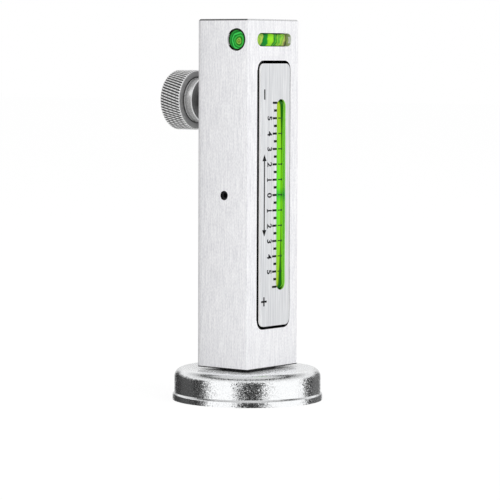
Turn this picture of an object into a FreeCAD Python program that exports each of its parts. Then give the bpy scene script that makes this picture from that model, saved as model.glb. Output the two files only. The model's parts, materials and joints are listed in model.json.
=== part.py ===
import FreeCAD, Part
import math
import os

import Sketcher

# Camber caster gauge: a milled aluminium bar on a round magnet, with a long bubble vial on
# two opposite sides and a small level vial across the top.
# Frame: +Z up along the bar, origin in the middle of the magnet's face, the camber scale
# faces -Y, the caster scale and its adjusting knob face +Y. Lengths are in millimetres.

Vector = FreeCAD.Vector

DRIVING_SIZES = [
    # magnet base
    ("cup_diameter", 58.6),
    ("base_height", 12.6),
    ("cup_wall", 1.5),
    ("shoulder_radius", 3.5),
    ("lip_flare", 0.7),
    ("lip_height", 2.2),
    ("lip_rounding", 0.5),
    ("filler_width", 2.8),
    ("magnet_recess", 0.5),
    ("filler_recess", 0.9),
    ("pole_diameter", 26.0),
    ("washer_diameter", 22.0),
    ("washer_thickness", 0.9),
    # hollow centre bolt and the plunger in it
    ("bolt_diameter", 12.0),
    ("bolt_head_diameter", 17.0),
    ("bolt_head_height", 3.2),
    ("bolt_head_recess", 0.8),
    ("bolt_grip", 9.0),
    ("bolt_bore", 8.0),
    ("bolt_lip", 3.0),
    ("spanner_hole", 1.6),
    ("plunger_diameter", 6.0),
    ("plunger_tip", 1.6),
    ("plunger_point", 3.4),
    ("plunger_recess", 0.2),
    ("plunger_travel", 6.0),
    ("plunger_collar", 2.0),
    ("plunger_wire", 0.7),
    # housing
    ("housing_width", 33.0),
    ("housing_depth", 25.0),
    ("housing_length", 138.0),
    ("side_chamfer", 0.4),
    ("end_chamfer", 0.6),
    ("cutout_bottom", 15.5),
    ("cutout_length", 106.3),
    ("cutout_width", 21.4),
    ("cutout_radius", 3.7),
    ("cutout_offset", 0.4),
    ("back_wall", 3.0),
    ("back_window_length", 77.5),
    ("base_thread_room", 1.0),
    # level vial across the top
    ("level_drop", 8.05),
    ("level_depth", 5.8),
    ("level_bore", 8.9),
    ("level_bore_length", 29.0),
    ("level_recess", 0.3),
    ("level_vial_length", 26.4),
    ("level_rounding", 0.8),
    ("level_slot_length", 22.1),
    ("level_slot_height", 5.3),
    ("level_slot_offset", 0.45),
    ("level_bore_middle", 6.6),
    ("level_bore_end", 5.4),
    # pivot
    ("pivot_depth", 11.7),
    ("pivot_diameter", 3.6),
    ("pivot_end_wall", 2.5),
    ("pivot_recess", 0.9),
    ("ear_radius", 2.8),
    ("ear_width", 2.4),
    ("ear_gap", 0.3),
    ("running_clearance", 0.05),
    # scale carriers, plates and their vials
    ("scale_gap", 1.2),
    ("plate_thickness", 0.8),
    ("plate_proud", 0.7),
    ("carrier_rear", 3.0),
    ("window_width", 5.7),
    ("camber_window_length", 75.8),
    ("caster_window_length", 49.0),
    ("vial_offset", 3.75),
    ("vial_diameter", 8.4),
    ("vial_rise", 1.0),
    ("vial_end", 3.0),
    ("vial_rounding", 2.8),
    ("vial_bore_middle", 6.6),
    ("vial_bore_end", 2.6),
    ("bubble_width", 3.6),
    ("bubble_depth", 2.0),
    ("bubble_length", 9.0),
    ("level_bubble_length", 6.0),
    # adjusting screw and knob
    ("screw_height", 37.15),
    ("screw_diameter", 5.9),
    ("screw_tip_diameter", 3.6),
    ("screw_tip_length", 1.6),
    ("pad_diameter", 6.4),
    ("pad_thickness", 2.5),
    ("pad_socket", 1.2),
    ("pad_crown_diameter", 1.6),
    ("pad_crown_height", 0.7),
    ("pad_gap", 0.1),
    ("bush_diameter", 9.0),
    ("bush_flange_diameter", 13.0),
    ("bush_flange", 3.0),
    ("bush_chamfer", 0.5),
    ("knob_gap", 9.6),
    ("hub_diameter", 17.9),
    ("hub_length", 3.9),
    ("hub_chamfer", 0.3),
    ("knob_diameter", 24.2),
    ("knob_width", 9.9),
    ("knob_chamfer", 0.9),
    ("knob_bore_depth", 10.4),
    ("knob_dish_diameter", 17.0),
    ("knob_dish_depth", 0.5),
    ("set_screw_diameter", 3.0),
    ("set_screw_length", 5.2),
    # tilting arm and its spring
    ("arm_step", 1.0),
    ("arm_width", 16.0),
    ("arm_thickness", 3.5),
    ("arm_overlap", 8.0),
    ("arm_reach", 4.0),
    ("spring_offset", 4.8),
    ("spring_pocket", 5.6),
    ("spring_pocket_depth", 4.0),
    ("spring_diameter", 4.8),
    ("spring_wire", 0.6),
    # screw that fixes the camber carrier
    ("lock_height", 48.35),
    ("lock_diameter", 3.0),
    ("lock_head", 1.4),
    ("lock_tip_depth", 0.5),
    ("lock_boss_diameter", 7.0),
    ("socket_width", 2.0),
    ("socket_depth", 1.6),
]

SPRING_TURNS = 5
SPRING_STEPS = 12
WIRE_SIDES = 6

# The least change of volume, in cubic millimetres, that counts as a cut or a pad, and how
# near an edge must lie to the place where it is looked for.
NO_CHANGE = 1e-6
NEAR = 1e-4

# Places worked out from the driving sizes, as expressions in the sheet's aliases.
HOUSING_BOTTOM = "(dims.base_height + dims.washer_thickness)"
HALF_DEPTH = "(dims.housing_depth / 2)"
HALF_WIDTH = "(dims.housing_width / 2)"
PIVOT_HEIGHT = "(dims.cutout_bottom + dims.cutout_length / 2)"
PIVOT_Z = f"({HOUSING_BOTTOM} + {PIVOT_HEIGHT})"
PIVOT_Y = f"(dims.pivot_depth - {HALF_DEPTH})"
LEVEL_HEIGHT = "(dims.housing_length - dims.level_drop)"
LEVEL_Y = f"(dims.level_depth - {HALF_DEPTH})"
CARRIER_FRONT = f"({HALF_DEPTH} + dims.plate_proud - dims.plate_thickness)"
CARRIER_WIDTH = "(dims.cutout_width - 2 * dims.scale_gap)"
CAMBER_LENGTH = "(dims.cutout_length - 2 * dims.scale_gap)"
CASTER_LENGTH = "(dims.back_window_length - 2 * dims.scale_gap)"
CASTER_MIDDLE = "((dims.back_window_length - dims.cutout_length) / 2)"
CASTER_TOP = f"({CASTER_MIDDLE} + {CASTER_LENGTH} / 2)"
VIAL_Y = f"(-{CARRIER_FRONT} - dims.vial_rise + dims.vial_diameter / 2)"
ARM_OUTER = "(dims.carrier_rear + dims.arm_step)"
ARM_INNER = f"({ARM_OUTER} - dims.arm_thickness)"
CUP_INNER = "(dims.cup_diameter / 2 - dims.cup_wall)"
CUP_CEILING = "(dims.base_height - dims.cup_wall)"
MAGNET_OUTER = f"({CUP_INNER} - dims.filler_width)"
BOLT_SEAT = "(dims.bolt_head_recess + dims.bolt_head_height)"
BOLT_LIP_TOP = "(dims.bolt_head_recess + dims.bolt_lip)"
BOLT_TOP = f"({HOUSING_BOTTOM} + dims.bolt_grip)"
THREAD_ROOM_TOP = f"({BOLT_TOP} + dims.base_thread_room)"
COLLAR_BOTTOM = f"({BOLT_LIP_TOP} + dims.plunger_travel + dims.plunger_recess)"
COLLAR_TOP = f"({COLLAR_BOTTOM} + dims.plunger_collar)"
PAD_TIP = f"({ARM_OUTER} + dims.pad_gap)"
SCREW_TIP = f"({PAD_TIP} + dims.pad_thickness - dims.pad_socket + dims.running_clearance)"
HUB_START = f"({HALF_DEPTH} + dims.knob_gap)"
SCREW_Z = f"({PIVOT_Z} + dims.screw_height)"
PIVOT_START = f"(-{HALF_WIDTH} + dims.pivot_recess)"
PIVOT_END = f"({HALF_WIDTH} - dims.pivot_end_wall)"
EAR_OUTER = f"({CARRIER_WIDTH} / 2)"
INNER_EAR_OUTER = f"({EAR_OUTER} - dims.ear_width - dims.ear_gap)"
LEVEL_START = f"(-{HALF_WIDTH} + dims.level_recess)"
LEVEL_PLUG_LENGTH = "(dims.level_bore_length - dims.level_recess - dims.level_vial_length)"

X_FROM_Z = FreeCAD.Rotation(Vector(0, 1, 0), 90)
Y_FROM_Z = FreeCAD.Rotation(Vector(1, 0, 0), -90)
HALF_TURN = FreeCAD.Rotation(Vector(0, 0, 1), 180)

doc = FreeCAD.newDocument("CamberCasterGauge")
sheet = doc.addObject("Spreadsheet::Sheet", "dims")
for row, (alias, size) in enumerate(DRIVING_SIZES, start=1):
    sheet.set(f"A{row}", alias)
    sheet.set(f"B{row}", str(size))
    sheet.setAlias(f"B{row}", alias)
doc.recompute()


def number(expression):
    """The present value of an expression in the sheet's aliases, in millimetres."""
    return float(sheet.evalExpression(expression))


# Bodies, sketches and features

last_volume = {}


def new_body(label, place=("0", "0", "0"), rotation=None):
    """A body whose place is bound to the sheet."""
    body = doc.addObject("PartDesign::Body", label)
    body.Label = label
    if rotation:
        body.Placement = FreeCAD.Placement(Vector(), rotation)
    for axis, expression in zip("xyz", place):
        if expression != "0":
            body.setExpression(f"Placement.Base.{axis}", expression)
    return body


def new_sketch(body, plane, offset=None):
    """A sketch on one of the body's origin planes, moved along the plane's normal."""
    sketch = body.newObject("Sketcher::SketchObject", f"{body.Name}_sketch")
    origin_plane = next(item for item in body.Origin.OriginFeatures if item.Role == plane)
    sketch.AttachmentSupport = [(origin_plane, "")]
    sketch.MapMode = "FlatFace"
    if offset:
        sketch.setExpression("AttachmentOffset.Base.z", offset)
    return sketch


def bind_point(sketch, geometry, position, x, y):
    """Tie one point of a sketch to the origin by two expressions."""
    for kind, expression, axis_line in (("DistanceX", x, -2), ("DistanceY", y, -1)):
        if expression == "0":
            sketch.addConstraint(Sketcher.Constraint("PointOnObject", geometry, position, axis_line))
        else:
            value = number(expression)
            rule = Sketcher.Constraint(kind, -1, 1, geometry, position, value)
            sketch.setExpression(f"Constraints[{sketch.addConstraint(rule)}]", expression)


def bind_size(sketch, kind, geometry, expression):
    """Tie a radius or a diameter to an expression."""
    rule = Sketcher.Constraint(kind, geometry, number(expression))
    sketch.setExpression(f"Constraints[{sketch.addConstraint(rule)}]", expression)


def join_ends(sketch, first, second, kind="Coincident"):
    """Join the end of one line or arc to the start of the next."""
    sketch.addConstraint(Sketcher.Constraint(kind, first, 2, second, 1))


def draw_polygon(sketch, corners):
    """A closed outline with straight sides, its corners given by expressions."""
    points = [Vector(number(x), number(y), 0) for x, y in corners]
    sides = [sketch.addGeometry(Part.LineSegment(points[i - 1], points[i]))
             for i in range(len(points))]
    for i, side in enumerate(sides):
        join_ends(sketch, sides[i - 1], side)
    for side, (x, y) in zip(sides, corners):
        bind_point(sketch, side, 2, x, y)


def draw_rectangle(sketch, x, y, width, height):
    """A rectangle round the point x, y."""
    left, right = f"{x} - {width} / 2", f"{x} + {width} / 2"
    low, high = f"{y} - {height} / 2", f"{y} + {height} / 2"
    draw_polygon(sketch, [(left, low), (right, low), (right, high), (left, high)])


def draw_circle(sketch, x, y, diameter):
    """A circle round the point x, y."""
    centre = Vector(number(x), number(y), 0)
    circle = sketch.addGeometry(Part.Circle(centre, Vector(0, 0, 1), number(diameter) / 2))
    bind_point(sketch, circle, 3, x, y)
    bind_size(sketch, "Diameter", circle, diameter)


def draw_hexagon(sketch, x, y, width):
    """A hexagon round the point x, y, with its width across the flats."""
    corners = []
    for turn in range(6):
        angle = 60 * turn
        reach = f"{width} / sqrt(3)"
        corners.append((f"{x} + {reach} * cos({angle})", f"{y} + {reach} * sin({angle})"))
    draw_polygon(sketch, corners)


def draw_slot(sketch, x, y, length, width, upright):
    """A slot with round ends, lying along the sketch's second axis where it is upright."""
    radius = number(width) / 2
    reach = f"({length} - {width}) / 2"
    along = Vector(0, 1, 0) if upright else Vector(1, 0, 0)
    across = Vector(along.y, -along.x, 0)
    centre = Vector(number(x), number(y), 0)
    far = centre + along * number(reach)
    near = centre - along * number(reach)
    heading = math.atan2(across.y, across.x)
    normal = Vector(0, 0, 1)
    far_end = Part.ArcOfCircle(Part.Circle(far, normal, radius), heading, heading + math.pi)
    near_end = Part.ArcOfCircle(Part.Circle(near, normal, radius), heading + math.pi,
                                heading + 2 * math.pi)
    outline = [
        sketch.addGeometry(far_end),
        sketch.addGeometry(Part.LineSegment(far - across * radius, near - across * radius)),
        sketch.addGeometry(near_end),
        sketch.addGeometry(Part.LineSegment(near + across * radius, far + across * radius)),
    ]
    for i, piece in enumerate(outline):
        join_ends(sketch, outline[i - 1], piece, "Tangent")
    direction = "Vertical" if upright else "Horizontal"
    sketch.addConstraint(Sketcher.Constraint(direction, outline[1]))
    if upright:
        bind_point(sketch, outline[0], 3, x, f"{y} + {reach}")
        bind_point(sketch, outline[2], 3, x, f"{y} - {reach}")
    else:
        bind_point(sketch, outline[0], 3, f"{x} + {reach}", y)
        bind_point(sketch, outline[2], 3, f"{x} - {reach}", y)
    bind_size(sketch, "Radius", outline[0], f"{width} / 2")


def draw_barrel(sketch, corners, end, half_length, middle, tip):
    """An outline of straight sides that closes with one long arc of a barrel bore.

    The arc bulges from the radius tip, at both ends of the bore, to the radius middle.
    """
    sag = f"({middle} - {tip})"
    radius = f"(({half_length} * {half_length} + {sag} * {sag}) / (2 * {sag}))"
    centre = Vector(number(middle) - number(radius), 0, 0)
    spread = math.asin(number(half_length) / number(radius))
    circle = Part.Circle(centre, Vector(0, 0, 1), number(radius))
    bulge = sketch.addGeometry(Part.ArcOfCircle(circle, -spread, spread))
    points = [Vector(number(x), number(y), 0) for x, y in corners]
    sides = [sketch.addGeometry(Part.LineSegment(start, stop))
             for start, stop in zip(points, points[1:])]
    for first, second in zip(sides, sides[1:]):
        join_ends(sketch, first, second)
    sketch.addConstraint(Sketcher.Constraint("Coincident", bulge, end, sides[0], 1))
    sketch.addConstraint(Sketcher.Constraint("Coincident", bulge, 3 - end, sides[-1], 2))
    bind_point(sketch, sides[0], 1, *corners[0])
    for side, corner in zip(sides, corners[1:]):
        bind_point(sketch, side, 2, *corner)
    bind_size(sketch, "Radius", bulge, radius)


def checked(body, feature):
    """Recompute, and stop if the feature left the body as it was."""
    doc.recompute()
    volume = body.Shape.Volume
    if abs(volume - last_volume.get(body.Name, 0.0)) < NO_CHANGE:
        raise RuntimeError(f"{body.Label}: {feature.Name} changes nothing")
    last_volume[body.Name] = volume
    return feature


def pad(body, sketch, length, reverse=False):
    """Raise a sketch into a solid."""
    feature = body.newObject("PartDesign::Pad", f"{body.Name}_pad")
    feature.Profile = sketch
    feature.Reversed = reverse
    feature.setExpression("Length", length)
    return checked(body, feature)


def pocket(body, sketch, length, reverse=False):
    """Cut a sketch out of the solid."""
    feature = body.newObject("PartDesign::Pocket", f"{body.Name}_pocket")
    feature.Profile = sketch
    feature.Reversed = reverse
    feature.setExpression("Length", length)
    return checked(body, feature)


def revolve(body, sketch):
    """Turn a sketch about its upright axis."""
    feature = body.newObject("PartDesign::Revolution", f"{body.Name}_turning")
    feature.Profile = sketch
    feature.ReferenceAxis = (sketch, ["V_Axis"])
    feature.Angle = 360
    return checked(body, feature)


def turned(label, corners, place=("0", "0", "0"), rotation=None):
    """A turned part: an outline of radius and height, turned about the body's Z axis."""
    body = new_body(label, place, rotation)
    sketch = new_sketch(body, "XZ_Plane")
    draw_polygon(sketch, corners)
    revolve(body, sketch)
    return body


def dress_edges(body, kind, size, wanted):
    """Fillet or chamfer the edges that pass the test."""
    tip = body.Tip
    names = [f"Edge{i}" for i, edge in enumerate(tip.Shape.Edges, start=1) if wanted(edge)]
    feature = body.newObject(f"PartDesign::{kind}", f"{body.Name}_{kind.lower()}")
    feature.Base = (tip, names)
    feature.setExpression("Radius" if kind == "Fillet" else "Size", size)
    return checked(body, feature)


def is_near(value, expression):
    """Whether a number is the present value of an expression."""
    return abs(value - number(expression)) < NEAR


def ring_at(radius, height):
    """A test for the round edge of a turned part at this radius and height."""
    def wanted(edge):
        curve = edge.Curve
        if not isinstance(curve, Part.Circle):
            return False
        return is_near(curve.Radius, radius) and is_near(curve.Center.z, height)
    return wanted


def is_along(edge, axis):
    """Whether an edge is straight and runs along a direction."""
    if not isinstance(edge.Curve, Part.Line):
        return False
    return edge.tangentAt(edge.FirstParameter).cross(axis).Length < NEAR


def hex_socket(body, plane, offset, x, y, reverse):
    """A hexagon socket cut from a plane into the solid."""
    sketch = new_sketch(body, plane, offset)
    draw_hexagon(sketch, x, y, "dims.socket_width")
    pocket(body, sketch, "dims.socket_depth", reverse)


# Magnet base

def magnet_cup():
    """Stamped steel cup with a rounded shoulder and a flared lip."""
    wall = "dims.cup_diameter / 2"
    lip = f"({wall} + dims.lip_flare)"
    flare_top = "dims.lip_height + dims.lip_flare"
    hole = "dims.bolt_diameter / 2"
    body = turned("magnet_cup", [
        (CUP_INNER, "0"), (lip, "0"), (lip, "dims.lip_height"), (wall, flare_top),
        (wall, "dims.base_height"), (hole, "dims.base_height"), (hole, CUP_CEILING),
        (CUP_INNER, CUP_CEILING)])
    dress_edges(body, "Fillet", "dims.shoulder_radius", ring_at(wall, "dims.base_height"))
    inner_radius = "dims.shoulder_radius - dims.cup_wall"
    dress_edges(body, "Fillet", inner_radius, ring_at(CUP_INNER, CUP_CEILING))
    dress_edges(body, "Fillet", "dims.lip_rounding", ring_at(lip, "dims.lip_height"))
    return body


def ring_magnet():
    """Ceramic ring magnet round the pole piece."""
    inner = "dims.pole_diameter / 2"
    return turned("ring_magnet", [
        (inner, "dims.magnet_recess"), (MAGNET_OUTER, "dims.magnet_recess"),
        (MAGNET_OUTER, CUP_CEILING), (inner, CUP_CEILING)])


def magnet_filler():
    """Ring that centres the magnet in the cup and follows the cup's inner rounding."""
    body = turned("magnet_filler", [
        (MAGNET_OUTER, "dims.filler_recess"), (CUP_INNER, "dims.filler_recess"),
        (CUP_INNER, CUP_CEILING), (MAGNET_OUTER, CUP_CEILING)])
    inner_radius = "dims.shoulder_radius - dims.cup_wall"
    dress_edges(body, "Fillet", inner_radius, ring_at(CUP_INNER, CUP_CEILING))
    return body


def pole_piece():
    """Steel core of the magnet, counterbored for the bolt's head."""
    outer, hole = "dims.pole_diameter / 2", "dims.bolt_diameter / 2"
    head = "dims.bolt_head_diameter / 2 + dims.running_clearance"
    return turned("pole_piece", [
        (head, "0"), (outer, "0"), (outer, CUP_CEILING), (hole, CUP_CEILING),
        (hole, BOLT_SEAT), (head, BOLT_SEAT)])


def spacer_washer():
    """Washer that keeps the housing clear of the cup."""
    hole, outer = "dims.bolt_diameter / 2", "dims.washer_diameter / 2"
    return turned("spacer_washer", [
        (hole, "dims.base_height"), (outer, "dims.base_height"),
        (outer, HOUSING_BOTTOM), (hole, HOUSING_BOTTOM)])


def centre_bolt():
    """Hollow bolt through the magnet into the housing, with a lip that keeps the plunger in."""
    shank, head = "dims.bolt_diameter / 2", "dims.bolt_head_diameter / 2"
    bore = "dims.bolt_bore / 2"
    lip_bore = "dims.plunger_diameter / 2 + dims.running_clearance"
    body = turned("centre_bolt", [
        (lip_bore, "dims.bolt_head_recess"), (head, "dims.bolt_head_recess"), (head, BOLT_SEAT),
        (shank, BOLT_SEAT), (shank, BOLT_TOP), (bore, BOLT_TOP), (bore, BOLT_LIP_TOP),
        (lip_bore, BOLT_LIP_TOP)])
    sketch = new_sketch(body, "XY_Plane", "dims.bolt_head_recess")
    for side in ("-", ""):
        draw_circle(sketch, f"{side}(dims.bolt_diameter / 2)", "0", "dims.spanner_hole")
    pocket(body, sketch, "dims.spanner_hole", reverse=True)
    return body


def plunger():
    """Pointed centring pin with a collar, held back flush with the magnet."""
    pin = "dims.plunger_diameter / 2"
    point_top = "dims.plunger_recess + dims.plunger_point"
    collar = "dims.bolt_bore / 2 - dims.running_clearance"
    return turned("plunger", [
        ("0", "dims.plunger_recess"), ("dims.plunger_tip / 2", "dims.plunger_recess"),
        (pin, point_top), (pin, COLLAR_BOTTOM), (collar, COLLAR_BOTTOM),
        (collar, COLLAR_TOP), ("0", COLLAR_TOP)])


# Housing

def housing():
    """One milled bar: cut-out, back window, level bore and slot, pivot and screw holes."""
    body = new_body("housing", ("0", "0", HOUSING_BOTTOM))
    sketch = new_sketch(body, "XY_Plane")
    draw_rectangle(sketch, "0", "0", "dims.housing_width", "dims.housing_depth")
    pad(body, sketch, "dims.housing_length")
    dress_edges(body, "Chamfer", "dims.side_chamfer",
                lambda edge: is_along(edge, Vector(0, 0, 1)))
    dress_edges(body, "Chamfer", "dims.end_chamfer",
                lambda edge: is_near(edge.BoundBox.ZMin, "dims.housing_length"))

    front = HALF_DEPTH
    cut_depth = "dims.housing_depth - dims.back_wall"
    sketch = new_sketch(body, "XZ_Plane", front)
    draw_rectangle(sketch, "dims.cutout_offset", PIVOT_HEIGHT, "dims.cutout_width",
                   "dims.cutout_length")
    pocket(body, sketch, cut_depth)
    sketch = new_sketch(body, "XZ_Plane")
    window_middle = "dims.cutout_bottom + dims.back_window_length / 2"
    draw_rectangle(sketch, "dims.cutout_offset", window_middle, "dims.cutout_width",
                   "dims.back_window_length")
    pocket(body, sketch, "dims.housing_depth")
    left = "dims.cutout_offset - dims.cutout_width / 2"
    right = "dims.cutout_offset + dims.cutout_width / 2"
    dress_edges(body, "Fillet", "dims.cutout_radius",
                lambda edge: is_along(edge, Vector(0, 1, 0))
                and (is_near(edge.CenterOfMass.x, left) or is_near(edge.CenterOfMass.x, right)))

    sketch = new_sketch(body, "YZ_Plane", f"-{HALF_WIDTH}")
    draw_circle(sketch, LEVEL_Y, LEVEL_HEIGHT, "dims.level_bore")
    pocket(body, sketch, "dims.level_bore_length", reverse=True)
    sketch = new_sketch(body, "XZ_Plane", front)
    draw_slot(sketch, "dims.level_slot_offset", LEVEL_HEIGHT, "dims.level_slot_length",
              "dims.level_slot_height", upright=False)
    pocket(body, sketch, "dims.level_depth")

    pivot_bore = "dims.pivot_diameter + 2 * dims.running_clearance"
    sketch = new_sketch(body, "YZ_Plane", f"-{HALF_WIDTH}")
    draw_circle(sketch, PIVOT_Y, PIVOT_HEIGHT, pivot_bore)
    pocket(body, sketch, "dims.housing_width - dims.pivot_end_wall", reverse=True)
    sketch = new_sketch(body, "XZ_Plane")
    draw_circle(sketch, "0", f"{PIVOT_HEIGHT} + dims.screw_height", "dims.bush_diameter")
    pocket(body, sketch, "dims.housing_depth")
    lock_height = f"{PIVOT_HEIGHT} + dims.lock_height"
    sketch = new_sketch(body, "XZ_Plane")
    draw_circle(sketch, "dims.cutout_offset", lock_height, "dims.lock_diameter")
    pocket(body, sketch, "dims.housing_depth")
    dress_edges(body, "Chamfer", "dims.lock_head",
                lambda edge: isinstance(edge.Curve, Part.Circle)
                and is_near(edge.Curve.Radius, "dims.lock_diameter / 2")
                and is_near(edge.Curve.Center.y, HALF_DEPTH))

    sketch = new_sketch(body, "XY_Plane")
    draw_circle(sketch, "0", "0", "dims.bolt_diameter")
    pocket(body, sketch, "dims.bolt_grip + dims.base_thread_room", reverse=True)
    return body


# Vials

def vial(label, place, rotation, diameter, length, rounding, bore_half, bore_middle, bore_end):
    """A round-ended tube with a barrel bore that is open at its far end, for the plug."""
    body = new_body(f"{label}_vial", place, rotation)
    sketch = new_sketch(body, "XZ_Plane")
    outer, middle, tip = f"({diameter} / 2)", f"({bore_middle} / 2)", f"({bore_end} / 2)"
    draw_barrel(sketch, [
        (tip, bore_half), (tip, f"{length} / 2"), (outer, f"{length} / 2"),
        (outer, f"-{length} / 2"), ("0", f"-{length} / 2"), ("0", f"-{bore_half}"),
        (tip, f"-{bore_half}")], 2, bore_half, middle, tip)
    revolve(body, sketch)
    for end in ("", "-"):
        dress_edges(body, "Fillet", rounding, ring_at(outer, f"{end}{length} / 2"))
    return body


def fluid(label, place, rotation, bore_half, bore_middle, bore_end, bubble_length):
    """The liquid that fills the barrel bore, with its bubble against the front wall."""
    body = new_body(f"{label}_fluid", place, rotation)
    sketch = new_sketch(body, "XZ_Plane")
    middle, tip = f"({bore_middle} / 2)", f"({bore_end} / 2)"
    draw_barrel(sketch, [
        (tip, bore_half), ("0", bore_half), ("0", f"-{bore_half}"), (tip, f"-{bore_half}")],
        2, bore_half, middle, tip)
    revolve(body, sketch)
    bubble = body.newObject("PartDesign::SubtractiveEllipsoid", f"{body.Name}_bubble")
    bubble.setExpression("Radius1", f"{bubble_length} / 2")
    bubble.setExpression("Radius2", "dims.bubble_width / 2")
    bubble.setExpression("Radius3", "dims.bubble_depth / 2")
    bubble.setExpression("AttachmentOffset.Base.y", f"-({middle} - dims.bubble_depth / 4)")
    checked(body, bubble)
    return body


def stopper(label, place, rotation, length, bore_half, bore_end):
    """The plug that closes a vial's open end."""
    radius = f"{bore_end} / 2"
    return turned(f"{label}_vial_plug", [
        ("0", bore_half), (radius, bore_half), (radius, f"{length} / 2"),
        ("0", f"{length} / 2")], place, rotation)


def level_vial_parts():
    """The small vial that lies along X in the housing's cross bore."""
    middle_x = f"{LEVEL_START} + dims.level_vial_length / 2"
    place = (middle_x, LEVEL_Y, f"{HOUSING_BOTTOM} + {LEVEL_HEIGHT}")
    diameter = "(dims.level_bore - 2 * dims.running_clearance)"
    length = "dims.level_vial_length"
    bore_half = f"({length} / 2 - dims.vial_end)"
    bores = ("dims.level_bore_middle", "dims.level_bore_end")
    plug_start = f"({length} / 2)"
    plug = turned("level_vial_plug", [
        ("0", bore_half), ("dims.level_bore_end / 2", bore_half),
        ("dims.level_bore_end / 2", plug_start), ("dims.level_bore / 2", plug_start),
        ("dims.level_bore / 2", f"{plug_start} + {LEVEL_PLUG_LENGTH}"),
        ("0", f"{plug_start} + {LEVEL_PLUG_LENGTH}")], place, X_FROM_Z)
    return [
        vial("level", place, X_FROM_Z, diameter, length, "dims.level_rounding", bore_half,
             *bores),
        fluid("level", place, X_FROM_Z, bore_half, *bores, "dims.level_bubble_length"),
        plug,
    ]


# Scales. Each scale is drawn facing -Y about the pivot's height, and the caster scale is
# then turned half round.

def scale_place(middle="0"):
    """The origin of a scale: the cut-out's middle line at the pivot's height."""
    return ("dims.cutout_offset", "0", f"{PIVOT_Z} + {middle}")


def scale_plate(label, rotation, middle, length, window_length):
    """Thin plate with rounded corners and the vial's window."""
    body = new_body(label, scale_place(), rotation)
    sketch = new_sketch(body, "XZ_Plane", f"{HALF_DEPTH} + dims.plate_proud")
    draw_rectangle(sketch, "0", middle, CARRIER_WIDTH, length)
    pad(body, sketch, "dims.plate_thickness", reverse=True)
    dress_edges(body, "Fillet", "dims.cutout_radius - dims.scale_gap",
                lambda edge: is_along(edge, Vector(0, 1, 0)))
    sketch = new_sketch(body, "XZ_Plane", f"{HALF_DEPTH} + dims.plate_proud")
    draw_slot(sketch, "dims.vial_offset", middle, window_length, "dims.window_width",
              upright=True)
    pocket(body, sketch, "dims.plate_thickness")
    return body


def carrier_block(body, middle, length):
    """The block behind a plate, with the cut-out's rounded corners."""
    sketch = new_sketch(body, "XZ_Plane", CARRIER_FRONT)
    draw_rectangle(sketch, "0", middle, CARRIER_WIDTH, length)
    pad(body, sketch, f"{CARRIER_FRONT} - dims.carrier_rear", reverse=True)
    dress_edges(body, "Fillet", "dims.cutout_radius - dims.scale_gap",
                lambda edge: is_along(edge, Vector(0, 1, 0)))


def pivot_ears(body, outer_face, pivot_y):
    """Two round-ended ears from the block's rear to the pivot screw, bored for it."""
    length = f"({pivot_y} + dims.carrier_rear + 2 * dims.ear_radius)"
    middle = f"({pivot_y} - dims.carrier_rear) / 2"
    for side in ("-", ""):
        sketch = new_sketch(body, "YZ_Plane", f"{side}{outer_face}")
        draw_slot(sketch, middle, "0", length, "2 * dims.ear_radius", upright=False)
        pad(body, sketch, "dims.ear_width", reverse=side == "")
    sketch = new_sketch(body, "YZ_Plane", f"-{outer_face}")
    draw_circle(sketch, pivot_y, "0", "dims.pivot_diameter + 2 * dims.running_clearance")
    pocket(body, sketch, f"2 * {outer_face}", reverse=True)


def vial_seat(body, middle, window_length):
    """The bore that holds the vial, open to the plate's window."""
    sketch = new_sketch(body, "XY_Plane", f"{middle} - {window_length} / 2")
    draw_circle(sketch, "dims.vial_offset", VIAL_Y, "dims.vial_diameter")
    pocket(body, sketch, window_length, reverse=True)
    sketch = new_sketch(body, "XZ_Plane", CARRIER_FRONT)
    draw_slot(sketch, "dims.vial_offset", middle, window_length, "dims.window_width",
              upright=True)
    pocket(body, sketch, f"{VIAL_Y} + {CARRIER_FRONT}")


def scale_vial_parts(label, side, middle, window_length, rotation):
    """Vial, liquid and plug of one scale. The vial fills the window and rises into it."""
    place = (f"dims.cutout_offset {side} dims.vial_offset",
             f"{side} {VIAL_Y}", f"{PIVOT_Z} + {middle}")
    bore_half = f"({window_length} / 2 - dims.vial_end)"
    bores = ("dims.vial_bore_middle", "dims.vial_bore_end")
    return [
        vial(label, place, rotation, "dims.vial_diameter", window_length,
             "dims.vial_rounding", bore_half, *bores),
        fluid(label, place, rotation, bore_half, *bores, "dims.bubble_length"),
        stopper(label, place, rotation, window_length, bore_half, "dims.vial_bore_end"),
    ]


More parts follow.
